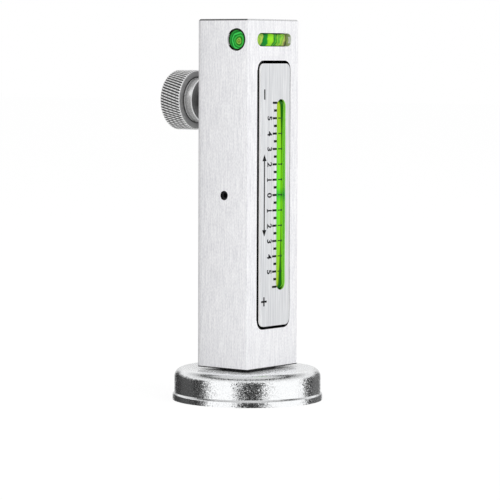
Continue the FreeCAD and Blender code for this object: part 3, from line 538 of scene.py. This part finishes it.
def bar_aluminium():
    """Pale satin aluminium with polished end chamfers.

    The cut-out's walls and front lip, the pivot hole and the bar's bottom edge are painted
    near-black:
    painted shade for the shadow in the gaps round the carrier and under the bar, and in the
    hole.
    """
    bar = Finish("bar_aluminium", (0.82, 0.82, 0.84), 0.15, 0.42)
    grain = bar.math("MULTIPLY", bar.math(
        "ADD", bar.noise((2300, 2300, 110), 1), bar.noise((2800, 2800, 1000), 1)), 0.5)
    bar.set("Base Color", bar.ramp(grain, BAR_GRAIN))
    bar.emboss(grain, 0.2)
    spot = bar.parts(bar.place())
    # Painted shade: the bar's sides grow darker towards the back
    shade_sides(bar, spot["Y"])
    low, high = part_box("housing")
    carrier_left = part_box("camber_carrier")[0].x
    walls = bar.both(bar.beside(spot, "camber_carrier", "X", CUTOUT_ROOM),
                     bar.beside(spot, "camber_carrier", "Z", CUTOUT_ROOM),
                     bar.within(spot["Y"], 0, WALL_REACH))
    lip = bar.both(bar.within(spot["X"], carrier_left - CUTOUT_ROOM, LIP_HALF),
                   bar.beside(spot, "camber_carrier", "Z", -LIP_CORNER),
                   bar.math("LESS_THAN", spot["Y"], 0))
    bottom = bar.math("LESS_THAN", spot["Z"], low.z + BOTTOM_EDGE)
    hole = bar.both(bar.beside(spot, "pivot_screw", "Y", HOLE_ROOM),
                    bar.beside(spot, "pivot_screw", "Z", HOLE_ROOM),
                    bar.within(spot["X"], 0, high.x - HOLE_EDGE))
    # Painted shade: near-black on the cut-out's walls, its lip, the bottom edge and the pivot
    # hole
    bar.tint(bar.either(walls, bottom, lip, hole), PAINTED_SHADE_BLACK)
    bar.polish(bar.within(bar.facing()["Z"], 0.7, 0.2), (0.15, 1.0), (0.42, 0.18))
    return bar.material


def plate_aluminium(name, plate, vial):
    """Brushed sheet aluminium with cut edges painted bright as a painted highlight, like a
    mirror in the vial's window; the other cut edges have a painted glow near the front and
    painted shade deeper in.
    """
    sheet = Finish(name, (0.74, 0.75, 0.77), 0.35, 0.36)
    grain = sheet.noise((2600, 2600, 60), 2)
    sheet.set("Base Color", sheet.ramp(grain, PLATE_GRAIN))
    sheet.emboss(grain, 0.35)
    spot = sheet.parts(sheet.place())
    low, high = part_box(vial)
    cut = sheet.within(sheet.facing()["Y"], 0, 0.5)
    window = sheet.both(cut, sheet.within(spot["X"], (low.x + high.x) / 2, WINDOW_HALF))
    outer = sheet.math("SUBTRACT", cut, window)
    deep = sheet.both(outer, sheet.beside(spot, plate, "Y", -BRIGHT_EDGE))
    # Painted highlight on every cut edge, painted shade on the deep part of the outer ones, and
    # a painted glow on their front part
    sheet.tint(cut, CUT_EDGE_HIGHLIGHT)
    sheet.tint(deep, PAINTED_SHADE_BLACK)
    sheet.set("Emission Color", WHITE)
    sheet.set("Emission Strength", sheet.math(
        "MULTIPLY", sheet.math("SUBTRACT", outer, deep), PAINTED_CUT_GLOW))
    sheet.polish(window, (0.35, 1.0), (0.36, 0.1))
    return sheet.material


def turned_metal(name, colour, metallic, roughness):
    """Metal with a little uneven colour and shine."""
    metal = Finish(name, colour, metallic, roughness)
    cloud = metal.noise((1500, 1500, 1500), 2)
    low = tuple(part * 0.9 for part in colour)
    high = tuple(min(1.0, part * 1.1) for part in colour)
    metal.set("Base Color", metal.ramp(cloud, [(0.3, low), (0.7, high)]))
    metal.vary("Roughness", cloud, roughness * 0.9, roughness * 1.15)
    return metal.material


def knurl_metal():
    """Painted highlight on the ridges and painted shade in the grooves, by the depth that each
    point of the mesh has.
    """
    metal = Finish("knurl_metal", (0.7, 0.7, 0.7), 0.5, 0.3)
    depth = metal.add("Attribute", attribute_name="depth").outputs["Fac"]
    metal.set("Base Color", metal.ramp(depth, [(0.0, 1.0), (0.3, 1.0), (0.55, 0.3),
                                               (0.8, 0.005)]))
    return metal.material


def lathe_metal(name, stops, metallic, roughness, middle_z=None):
    """Metal with a grey for each turned ring, by its place along Y: painted highlights and
    painted shade.

    With the height of the axis the stops go outwards from it instead.
    """
    metal = Finish(name, (0.6, 0.6, 0.6), metallic, roughness)
    if middle_z is None:
        reach = metal.parts(metal.place())["Y"]
    else:
        off_axis = metal.vector("SUBTRACT", metal.place(), (0, 0, middle_z))
        off_axis = metal.vector("MULTIPLY", off_axis, (1, 0, 1))
        reach = metal.vector("LENGTH", off_axis, result="Value")
    first, last = stops[0][0], stops[-1][0]
    metal.set("Base Color", metal.ramp(metal.share(reach, first, last), [
        ((place - first) / (last - first), grey) for place, grey in stops]))
    marks = metal.add("TexNoise", noise_dimensions="1D")
    metal.feed(marks.inputs["Scale"], 5000)
    metal.feed(marks.inputs["W"], reach)
    metal.vary("Roughness", marks.outputs["Fac"], roughness * 0.7, roughness * 1.3)
    return metal.material


def chrome():
    """Bright plating over a grainy stamping, each grain tilted its own way.

    It is smoother and less of a mirror on the flat top.
    """
    plating = Finish("chrome", (0.9, 0.91, 0.92), 1.0, 0.06)
    grains = plating.add("TexVoronoi")
    plating.feed(grains.inputs["Scale"], 1.0)
    plating.feed(grains.inputs["Vector"], plating.stretched((CUP_GRAINS,) * 3))
    upward = plating.facing()["Z"]
    tilt = plating.vector("SUBTRACT", grains.outputs["Color"], (0.5, 0.5, 0.5))
    tilt = plating.vector("MULTIPLY", tilt, plating.vector("ABSOLUTE", tilt))
    tilt = plating.vector("MULTIPLY", tilt, (CUP_TILT,) * 3)
    tilt = plating.vector("MULTIPLY", tilt, plating.between(upward, 1.0, 0.2))
    normal = plating.add("NewGeometry").outputs["Normal"]
    plating.set("Normal", plating.vector("NORMALIZE", plating.vector("ADD", normal, tilt)))
    on_top = plating.math("GREATER_THAN", upward, FLAT)
    plating.set("Metallic", plating.between(on_top, 1.0, 0.4))
    colour = plating.add("SeparateColor")
    plating.feed(colour.inputs[0], grains.outputs["Color"])
    rough = plating.math("POWER", colour.outputs["Green"], 1.5)
    plating.set("Roughness", plating.between(rough, 0.05, 0.39))
    return plating.material


def moulded(name, colour, roughness):
    """Moulded plastic or resin with a slight unevenness."""
    resin = Finish(name, colour, 0.0, roughness)
    high = tuple(part * 1.4 for part in colour)
    resin.set("Base Color", resin.ramp(resin.noise((900, 900, 900), 3),
                                       [(0.35, colour), (0.7, high)]))
    resin.emboss(resin.noise((3000, 3000, 3000), 3), 0.3)
    return resin.material


def glowing(name, colour, transmission, glow):
    """Dyed acrylic or liquid with a little painted glow, which brightens it as fluorescent dye
    does.
    """
    dyed = Finish(name, colour, 0.0, 0.06)
    for socket, value in (("Transmission Weight", transmission), ("IOR", 1.4),
                          ("Specular IOR Level", 0.1), ("Emission Color", colour),
                          ("Emission Strength", glow)):
        dyed.set(socket, value)
    return dyed


def tube_acrylic(name, vial):
    """Lime acrylic of a long vial with painted refraction and shade across it, darker along the
    edge of its barrel bore, where the dark carrier shows through as a painted refraction.

    The dark streak is widest at the vial's ends, where the bore is narrowest.
    """
    tube = glowing(name, (0.3, 0.75, 0.04), 0.1, 0.2)
    low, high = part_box(vial)
    middle, half_length = (low + high) / 2, (high.z - low.z) / 2
    spot = tube.parts(tube.place())
    outward = 1 if middle.y < 0 else -1
    left = middle.x - outward * WINDOW_WIDTH / 2
    across = tube.share(spot["X"], left, left + outward * WINDOW_WIDTH)
    height = tube.math("MULTIPLY_ADD", spot["Z"], 1 / half_length, -middle.z / half_length)
    along = tube.math("ABSOLUTE", height)
    # Painted refraction and shade across the round tube, from its middle to its ends
    colour = tube.mix(tube.math("POWER", along, 1.5), tube.ramp(across, TUBE_MIDDLE),
                      tube.ramp(across, TUBE_END))

    # Painted refraction: a dark streak where the dark carrier shows through the thick wall
    spread = tube.between(tube.math("POWER", along, 3.0), *STREAK_SPREAD)
    line = tube.between(height, *STREAK_PLACE)
    off_line = tube.math("ABSOLUTE", tube.math("SUBTRACT", across, line))
    streak = tube.math("SUBTRACT", 1.0, tube.math("DIVIDE", off_line, spread))
    streak = tube.math("MULTIPLY", tube.math("MAXIMUM", streak, 0.0), 2.0)
    streak = tube.math("MINIMUM", streak, tube.between(along, *STREAK_DEPTH))
    streak = tube.math("MINIMUM", streak, STREAK_DEEPEST)
    colour = tube.mix(streak, colour, TUBE_PAINTED_REFRACTION)

    near_zero = tube.math("SUBTRACT", 1.0, tube.math(
        "MULTIPLY", along, half_length / ZERO_BAND_REACH))
    near_zero = tube.math("MAXIMUM", near_zero, 0.0)
    return tube.glow(tube.mix(near_zero, colour, ZERO_BAND, "MULTIPLY"))


def tube_liquid():
    """Green liquid of a long vial."""
    liquid = glowing("tube_liquid", (0.12, 0.75, 0.03), 0.2, 0.25)
    liquid.set("Base Color", liquid.ramp(liquid.noise((300, 300, 60), 2), [
        (0.35, (0.08, 0.7, 0.03)), (0.65, (0.25, 0.8, 0.04))]))
    return liquid.material


def level_swirl(name, transmission):
    """Lime acrylic or liquid of the short vial, with the swirls that its ends throw painted on
    as caustics.

    The round end has fine rings round a bright spot and a rim of painted shade; the side has
    bands across it, with painted shade at its top and bottom edges.
    """
    swirl = glowing(name, (0.1, 0.6, 0.03), transmission, 0.12)
    low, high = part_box("level_vial")
    middle = (low + high) / 2
    spot = swirl.parts(swirl.place())

    def distance(off_y, off_z):
        squares = [swirl.math("POWER", swirl.math("ABSOLUTE", swirl.math(
            "SUBTRACT", value, centre)), 2.0) for value, centre in (
                (spot["Y"], middle.y + off_y), (spot["Z"], middle.z + off_z))]
        return swirl.math("SQRT", swirl.math("ADD", *squares))

    wobble = swirl.noise((330, 330, 330), 2)
    uneven = swirl.between(wobble, -0.8 * MM, 0.8 * MM)
    outward = swirl.math("ADD", distance(*LEVEL_SPOT), uneven)
    outward = swirl.math("MULTIPLY", outward, 1 / LEVEL_END_RADIUS)
    rings = swirl.math("MULTIPLY", swirl.math("PINGPONG", outward, LEVEL_RING_STEP), 8.0)
    end = swirl.mix(rings, swirl.ramp(outward, LEVEL_END), LEVEL_RING)
    # Painted shade: the dark rim round the round end
    rim = swirl.math("GREATER_THAN", distance(0, 0), LEVEL_RIM_RADIUS)
    end = swirl.mix(rim, end, LEVEL_RIM)

    along = swirl.math("ADD", swirl.share(spot["X"], low.x, high.x), swirl.math(
        "MULTIPLY_ADD", spot["Z"], -BAND_SLANT, BAND_SLANT * middle.z))
    along = swirl.math("ADD", along, swirl.between(
        swirl.noise((420, 420, 420), 3), -0.08, 0.08))
    off_middle = swirl.math("ABSOLUTE", swirl.math("SUBTRACT", spot["Z"], middle.z))
    off_middle = swirl.math("ADD", off_middle, swirl.between(wobble, -0.6 * MM, 0.6 * MM))
    # Painted shade at the side's top and bottom edges
    side = swirl.mix(swirl.math("GREATER_THAN", off_middle, LEVEL_SIDE_HALF),
                     swirl.ramp(along, LEVEL_SIDE), LEVEL_SIDE_EDGE)
    at_end = swirl.math("LESS_THAN", spot["X"], low.x + LEVEL_END_DEPTH)
    return swirl.glow(swirl.mix(at_end, side, end))


def ink(name, thin, thick):
    """Printing ink of uneven thickness."""
    print_ink = Finish(name, thick, 0.0, 0.6)
    print_ink.set("Specular IOR Level", 0.1)
    print_ink.set("Base Color", print_ink.ramp(print_ink.noise((4000, 4000, 4000), 3),
                                               [(0.3, thick), (0.7, thin)]))
    return print_ink.material


def dress_nodes():
    """Give every solid the finish of its material slot, and some a finish of their own."""
    finishes = {
        "housing": bar_aluminium(),
        "scale_plate": plate_aluminium("plate_aluminium", "camber_scale_plate", "camber_vial"),
        "knob": turned_metal("knob_metal", (0.6, 0.6, 0.6), 0.6, 0.3),
        "magnet_cup": chrome(),
        "steel": turned_metal("steel", (0.55, 0.55, 0.56), 1.0, 0.28),
        "dark_steel": turned_metal("dark_steel", (0.03, 0.03, 0.033), 0.6, 0.45),
        "spring": turned_metal("spring_steel", (0.45, 0.45, 0.46), 1.0, 0.3),
        "brass": turned_metal("brass", (0.68, 0.52, 0.22), 1.0, 0.3),
        "magnet": moulded("ferrite", (0.03, 0.03, 0.032), 0.6),
        "black_plastic": moulded("black_plastic", (0.012, 0.012, 0.013), 0.5),
        "filler": moulded("filler", (0.02, 0.02, 0.021), 0.55),
        "grey_plug": moulded("grey_plug", (0.35, 0.36, 0.35), 0.5),
        "vial": tube_acrylic("tube_acrylic", "camber_vial"),
        "fluid": tube_liquid(),
    }
    own = {
        "caster_vial": tube_acrylic("caster_acrylic", "caster_vial"),
        "caster_scale_plate": plate_aluminium("caster_plate_aluminium", "caster_scale_plate",
                                              "caster_vial"),
        "level_vial": level_swirl("level_acrylic", 0.15),
        "level_fluid": level_swirl("level_liquid", 0.1),
        "level_vial_plug": moulded("level_plug", (0.20, 0.27, 0.08), 0.4),
    }
    for part in frame["record"]["subparts"]:
        node = frame["nodes"][part["node"]]
        finish = own.get(part["node"], finishes[part["material_slot"]])
        if not node.data.materials:
            node.data.materials.append(finish)
        for slot in node.material_slots:
            slot.material = finish
    return finishes


# Pieces

def finished_mesh(form, name):
    """A mesh from a bmesh, its faces turned outwards."""
    bmesh.ops.recalc_face_normals(form, faces=form.faces)
    mesh = bpy.data.meshes.new(name)
    form.to_mesh(mesh)
    form.free()
    return mesh


def new_object(name, mesh):
    """An object of the scene with that mesh."""
    thing = bpy.data.objects.new(name, mesh)
    bpy.context.scene.collection.objects.link(thing)
    return thing


def evaluated_mesh(thing):
    """The mesh that an object's modifiers or text give."""
    bpy.context.view_layer.update()
    return bpy.data.meshes.new_from_object(
        thing.evaluated_get(bpy.context.evaluated_depsgraph_get()))


def add_piece(name, mesh, material, body):
    """Put a finished mesh into the scene on its body."""
    mesh.materials.append(material)
    piece = new_object(name, mesh)
    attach(piece, body)
    return piece


def join_loops(form, loops, closed):
    """Faces between loops of as many points, and over both ends where the form is closed."""
    for first, second in zip(loops, loops[1:]):
        for i in range(len(first)):
            form.faces.new([first[i - 1], first[i], second[i], second[i - 1]])
    if closed:
        form.faces.new(loops[0])
        form.faces.new(loops[-1])


def turned_mesh(name, rings, sides, middle_z, smooth_angle):
    """A closed mesh from rings round +Y; each ring is its y and a radius for each side.

    The radii are a list or one number. The first and the last ring close on their middle.
    """
    form = bmesh.new()
    loops = []
    for y, radii in rings:
        if not isinstance(radii, list):
            radii = [radii] * sides
        loop = []
        for side, radius in enumerate(radii):
            angle = 2 * math.pi * side / sides
            loop.append(form.verts.new((-math.cos(angle) * radius, y,
                                        math.sin(angle) * radius)))
        loops.append(loop)
    join_loops(form, loops, closed=False)
    for (y, _), loop in ((rings[0], loops[0]), (rings[-1], loops[-1])):
        middle = form.verts.new((0, y, 0))
        for side in range(sides):
            form.faces.new([loop[side - 1], loop[side], middle])
    mesh = finished_mesh(form, name)
    mesh.shade_smooth()
    mesh.set_sharp_from_angle(angle=smooth_angle)
    mesh.transform(Matrix.Translation((0, 0, middle_z)))
    return mesh


def groove(phase):
    """A V groove once for each whole turn of the phase: 1 at its bottom, 0 at the ridge."""
    return abs(2 * (phase - math.floor(phase)) - 1)


def knurled_rings(hub_end, end, rim):
    """The rings of the knob's knurl, each with a radius for each side."""
    rings = []
    sides = RIDGES * RIDGE_STEPS
    slope = math.tan(RIDGE_ANGLE) / rim
    for step in range(1, KNURL_STEPS):
        y = hub_end + (end - hub_end) * step / KNURL_STEPS
        limit = rim - KNOB_CHAMFER + min(y - hub_end, end - y)
        radii = []
        for side in range(sides):
            angle = 2 * math.pi * side / sides
            first = groove((angle - slope * y) * RIDGES / (2 * math.pi)) * RIDGE_DEPTH
            second = groove((angle + slope * y) * RIDGES / (2 * math.pi)) * CROSS_DEPTH
            radii.append(min(limit, rim - max(first, second)))
        rings.append((y, radii))
    return rings


def bore_set_screw_hole(piece, axis_z):
    """Cut the set screw's hole into the knob, from its axis outwards."""
    low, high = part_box("knob_set_screw")
    form = bmesh.new()
    bmesh.ops.create_cone(form, cap_ends=True, segments=24, radius1=SET_HOLE_RADIUS,
                          radius2=SET_HOLE_RADIUS, depth=SET_HOLE_LENGTH)
    cutter = new_object("set_screw_hole", finished_mesh(form, "set_screw_hole"))
    cutter.location = (0, (low.y + high.y) / 2, axis_z + SET_HOLE_MIDDLE)
    cut = piece.modifiers.new("set_screw_hole", "BOOLEAN")
    cut.object = cutter
    cut.operation = "DIFFERENCE"
    bored = evaluated_mesh(piece)
    piece.modifiers.clear()
    piece.data = bored
    bpy.data.objects.remove(cutter)


def knurled_knob(plain):
    """The knob with its diamond knurl, chamfers, dished face and the set screw's hole."""
    low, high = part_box("adjusting_knob")
    axis_z = (low.z + high.z) / 2
    start, end = low.y, high.y
    rim = (high.z - low.z) / 2
    hub_end = start + HUB_LENGTH
    bore_end = start + BORE_DEPTH
    rings = [(bore_end, BORE_RADIUS), (start + KNOB_EDGE, BORE_RADIUS),
             (start, BORE_RADIUS + KNOB_EDGE), (start, HUB_RADIUS - KNOB_EDGE),
             (start + KNOB_EDGE, HUB_RADIUS), (hub_end, HUB_RADIUS),
             (hub_end, rim - KNOB_CHAMFER), *knurled_rings(hub_end, end, rim),
             (end, rim - KNOB_CHAMFER), (end, DISH_RADIUS + KNOB_EDGE),
             (end - DISH_DEPTH, DISH_RADIUS)]
    mesh = turned_mesh("knurled_knob", rings, RIDGES * RIDGE_STEPS, axis_z, math.radians(35))
    piece = add_piece("knurled_knob", mesh, plain, "knob")
    bore_set_screw_hole(piece, axis_z)
    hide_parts("adjusting_knob")

    mesh = piece.data
    depth = mesh.attributes.new("depth", "FLOAT", "POINT")
    for point, value in zip(mesh.vertices, depth.data):
        limit = rim - KNOB_CHAMFER + min(point.co.y - hub_end, end - point.co.y, KNOB_CHAMFER)
        radius = math.hypot(point.co.x, point.co.z - axis_z)
        value.value = min(1.0, max(0.0, (limit - radius) / RIDGE_DEPTH))
    # The greys of the shoulder, the hub and the face are painted light: painted highlights on
    # edges and bands, painted shade in corners, and dark painted reflections on the flat rings
    finishes = {
        "plain": plain,
        "knurl": knurl_metal(),
        "shoulder": lathe_metal("knob_shoulder", [
            (HUB_RADIUS, 0.04), (HUB_RADIUS + 0.35 * MM, 0.08), (HUB_RADIUS + 0.7 * MM, 0.30),
            (rim - KNOB_CHAMFER - 0.2 * MM, 0.38), (rim - KNOB_CHAMFER, 0.7)],
            0.3, 0.4, axis_z),
        "hub_side": lathe_metal("hub_side", [
            (start + KNOB_EDGE, 0.95), (start + 1.6 * MM, 0.8), (hub_end - 0.85 * MM, 0.5),
            (hub_end - 0.7 * MM, 1.0), (hub_end - 0.3 * MM, 1.0), (hub_end, 0.1)],
            0.65, 0.25),
        "hub_edge": lathe_metal("hub_edge", [(start, 0.97), (start + KNOB_EDGE, 0.95)],
                                0.1, 0.3),
        "hub_face": lathe_metal("hub_face", [
            (BORE_RADIUS, 0.04), (HUB_RADIUS * 0.7, 0.16), (HUB_RADIUS - KNOB_EDGE, 0.25)],
            0.4, 0.35, axis_z),
        "face": lathe_metal("knob_face", [
            (0.0, 0.62), (DISH_RADIUS * 0.45, 0.5), (DISH_RADIUS - 0.2 * MM, 0.58),
            (DISH_RADIUS, 0.3), (DISH_RADIUS + KNOB_EDGE, 0.75), (rim - KNOB_CHAMFER, 0.6)],
            0.5, 0.3, axis_z),
    }
    mesh.materials.clear()
    for finish in finishes.values():
        mesh.materials.append(finish)
    margin = 0.02 * MM

    def region(y, radius):
        if hub_end + margin < y < end - margin and radius > rim - KNOB_CHAMFER:
            return "knurl"
        if abs(y - hub_end) < margin and radius > HUB_RADIUS:
            return "shoulder"
        if radius > HUB_RADIUS - KNOB_EDGE and y < start + KNOB_EDGE - margin:
            return "hub_edge"
        if radius > HUB_RADIUS - KNOB_EDGE and y < hub_end:
            return "hub_side"
        if abs(y - start) < margin:
            return "hub_face"
        return "face" if y > end - DISH_DEPTH - 0.1 * MM else "plain"

    names = list(finishes)
    for face in mesh.polygons:
        radius = math.hypot(face.center.x, face.center.z - axis_z)
        face.material_index = names.index(region(face.center.y, radius))


def threaded_screw(finish):
    """The adjusting screw with its thread and plain tip."""
    low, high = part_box("adjusting_screw")
    axis_z = (low.z + high.z) / 2
    major = (high.z - low.z) / 2
    tip_end = low.y + TIP_LENGTH
    rings = [(low.y, TIP_RADIUS - TIP_EDGE), (low.y + TIP_EDGE, TIP_RADIUS),
             (tip_end, TIP_RADIUS), (tip_end, major - THREAD_DEPTH)]
    step = THREAD_PITCH / PITCH_STEPS
    for i in range(1, int((high.y - tip_end) / step)):
        y = tip_end + step * i
        taper = min(1.0, (y - tip_end) / THREAD_PITCH, (high.y - y) / THREAD_PITCH)
        rings.append((y, [major - THREAD_DEPTH * max(
            groove(y / THREAD_PITCH - side / THREAD_SIDES), 1 - taper)
            for side in range(THREAD_SIDES)]))
    rings.append((high.y, major - THREAD_DEPTH))
    mesh = turned_mesh("threaded_screw", rings, THREAD_SIDES, axis_z, math.radians(50))
    piece = add_piece("threaded_screw", mesh, finish, "knob")
    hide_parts("adjusting_screw")


def coil_spring(name, node, size, place, fixed, moving, finish):
    """A coil of round wire between the two parts it pushes apart.

    It is built along +Z and then put in its place; fixed and moving are its two ends there.
    """
    diameter, wire = size
    coil_radius = (diameter - wire) / 2
    rise = (Vector(moving) - Vector(fixed)).length - wire
    steps = SPRING_TURNS * SPRING_STEPS
    form = bmesh.new()
    loops = []
    for step in range(steps + 1):
        angle = 2 * math.pi * step / SPRING_STEPS
        outward = Vector((math.cos(angle), math.sin(angle), 0))
        centre = outward * coil_radius + Vector((0, 0, wire / 2 + rise * step / steps))
        loop = []
        for side in range(WIRE_SIDES):
            turn = 2 * math.pi * side / WIRE_SIDES
            loop.append(form.verts.new(centre + (
                outward * math.cos(turn) + Vector((0, 0, math.sin(turn)))) * (wire / 2)))
        loops.append(loop)
    join_loops(form, loops, closed=True)
    mesh = finished_mesh(form, name)
    mesh.transform(place)
    mesh.shade_smooth()
    mesh.set_sharp_from_angle(angle=math.radians(60))
    mesh.materials.append(finish)
    piece = new_object(name, mesh)
    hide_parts(node)
    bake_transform(piece)


def springs(finish):
    """The spring behind the caster carrier's arm, and the one that pushes the plunger out."""
    low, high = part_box("return_spring")
    x, z = (low.x + high.x) / 2, (low.z + high.z) / 2
    coil_spring("return_coil", "return_spring", RETURN_COIL,
                Matrix.Translation((x, low.y, z)) @ Matrix.Rotation(-math.pi / 2, 4, "X"),
                (x, low.y, z), (x, high.y, z), finish)
    low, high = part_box("plunger_spring")
    coil_spring("plunger_coil", "plunger_spring", PLUNGER_COIL,
                Matrix.Translation((0, 0, low.z)),
                (0, 0, high.z), (0, 0, low.z), finish)


class Print:
    """Ink on a scale, drawn facing -Y round the scale's middle line and its zero height."""

    def __init__(self, surface):
        self.form = bmesh.new()
        self.surface = surface

    def bar(self, x, z, width, height):
        """A rectangle of ink round a point."""
        bmesh.ops.create_cube(self.form, size=1, matrix=Matrix.Translation(
            (x, self.surface - INK / 2, z)) @ Matrix.Diagonal((width, INK, height, 1)))

    def tick(self, reach, height, width):
        """A short bar across the scale at a height."""
        left, right = reach
        self.bar((left + right) / 2, height, right - left, width)

    def number(self, text, height):
        """Digits that read downwards, their tops towards +X."""
        curve = bpy.data.curves.new("digits", "FONT")
        curve.body = text
        curve.size = DIGIT_SIZE
        curve.extrude = INK / 2
        curve.offset = DIGIT_WEIGHT
        curve.align_x, curve.align_y = "CENTER", "CENTER"
        holder = new_object("digits", curve)
        mesh = evaluated_mesh(holder)
        bpy.data.objects.remove(holder)
        turn = Matrix(((0, 1, 0), (0, 0, -1), (-1, 0, 0))).to_4x4()
        mesh.transform(Matrix.Translation((DIGIT_MIDDLE, self.surface - INK / 2, height)) @ turn)
        self.form.from_mesh(mesh)
        bpy.data.meshes.remove(mesh)

    def arrow_head(self, height):
        """A flat triangle that points along the scale, away from its zero."""
        half, length = ARROW_HEAD
        corners = [(SIGN_MIDDLE - half, height), (SIGN_MIDDLE + half, height),
                   (SIGN_MIDDLE, height + math.copysign(length, height))]
        join_loops(self.form, [[self.form.verts.new((x, y, z)) for x, z in corners]
                               for y in (self.surface - INK, self.surface)], closed=True)

    def signs(self):
        """A minus, a plus and between them a line with two arrow heads."""
        self.bar(SIGN_MIDDLE, SIGN_HEIGHT["minus"], SIGN_STROKE, MINUS_LENGTH)
        self.bar(SIGN_MIDDLE, SIGN_HEIGHT["plus"], PLUS_LENGTH, SIGN_STROKE)
        self.bar(SIGN_MIDDLE, SIGN_HEIGHT["plus"], SIGN_STROKE, PLUS_LENGTH)
        self.bar(SIGN_MIDDLE, 0, ARROW_STROKE, 2 * ARROW_REACH)
        self.arrow_head(ARROW_REACH)
        self.arrow_head(-ARROW_REACH)

    def finish(self, name, material, body, place):
        """Turn the ink into a piece."""
        bmesh.ops.remove_doubles(self.form, verts=self.form.verts, dist=1e-7)
        mesh = finished_mesh(self.form, name)
        mesh.transform(place)
        add_piece(name, mesh, material, body)


def vial_line(form, centre, radius, height):
    """A thin printed line over the front left of a vial that stands along Z."""
    loops = []
    for step in range(LINE_PIECES + 1):
        angle = LINE_START + (LINE_STOP - LINE_START) * step / LINE_PIECES
        at_end = step >= LINE_PIECES - LINE_END_PIECES
        half = (LINE_END_WIDTH if at_end else LINE_WIDTH) / 2
        loops.append([form.verts.new((centre.x + math.sin(angle) * reach,
                                      centre.y - math.cos(angle) * reach, z))
                      for reach, z in ((radius, height - half),
                                       (radius + LINE_THICKNESS, height - half),
                                       (radius + LINE_THICKNESS, height + half),
                                       (radius, height + half))])
    join_loops(form, loops, closed=True)


def add_vial_lines(name, node, body, heights, place, material):
    """The scale's lines carried over the vial, one piece for each vial."""
    low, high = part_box(node)
    centre = place @ ((low + high) / 2)
    form = bmesh.new()
    for height in heights:
        vial_line(form, centre, (high.x - low.x) / 2, height)
    mesh = finished_mesh(form, name)
    mesh.transform(place)
    add_piece(name, mesh, material, body)


def camber_print(material, vial_ink):
    """The camber scale: degrees 0 to 5 both ways, with a minus and a plus for the two ways."""
    low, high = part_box("camber_scale_plate")
    middle = (low + high) / 2
    marks = Print(low.y)
    for degrees in range(-6, 7):
        height = degrees * DEGREE
        if abs(degrees) == 6:
            marks.tick(END_TICK, height, MAJOR_WIDTH)
        else:
            marks.tick(MAJOR_TICK, height, MAJOR_WIDTH)
            marks.number(str(abs(degrees)), height)
        if abs(degrees) == 1:
            marks.bar(SERIF, height, *SERIF_SIZE)
        if degrees < 6:
            marks.tick(MINOR_TICK, height + DEGREE / 2, MINOR_WIDTH)
    marks.signs()
    marks.finish("camber_scale_print", material, "housing",
                 Matrix.Translation((middle.x, 0, middle.z)))
    add_vial_lines("camber_vial_rings", "camber_vial", "housing",
                   [middle.z + degrees * DEGREE for degrees in range(-5, 6)],
                   Matrix.Identity(4), vial_ink)


def caster_print(material, vial_ink):
    """The caster scale, upside down like its plate: 4 on one side of zero, 12 on the other."""
    low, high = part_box("caster_scale_plate")
    middle = (low + high) / 2
    half_turn = Matrix.Rotation(math.pi, 4, "Z")
    marks = Print(-high.y)
    heights = []
    for step in range(-2, 7):
        height = (2 - step) * CASTER_STEP
        heights.append(middle.z + height)
        marks.tick(MAJOR_TICK, height, MAJOR_WIDTH)
        marks.number(str(abs(step * 2)), height)
        if step < 6:
            marks.tick(MINOR_TICK, height - CASTER_STEP / 2, MINOR_WIDTH)
    marks.finish("caster_scale_print", material, "caster_carrier",
                 Matrix.Translation((middle.x, 0, middle.z)) @ half_turn)
    add_vial_lines("caster_vial_rings", "caster_vial", "caster_carrier", heights, half_turn,
                   vial_ink)


add_camera()
add_world()
add_floor()
add_lamp("key_lamp", power=15.0, turn=math.radians(45), height=0.6)
add_lamp("fill_lamp", power=4.0, turn=math.radians(-70), height=0.3)
bpy.context.scene.view_settings.view_transform = "Standard"

finishes = dress_nodes()
knurled_knob(finishes["knob"])
threaded_screw(finishes["steel"])
springs(finishes["spring"])
black_ink = ink("ink", (0.02, 0.02, 0.022), (0.005, 0.005, 0.006))
vial_ink = ink("vial_ink", (0.02, 0.09, 0.015), (0.01, 0.04, 0.006))
camber_print(black_ink, vial_ink)
caster_print(black_ink, vial_ink)
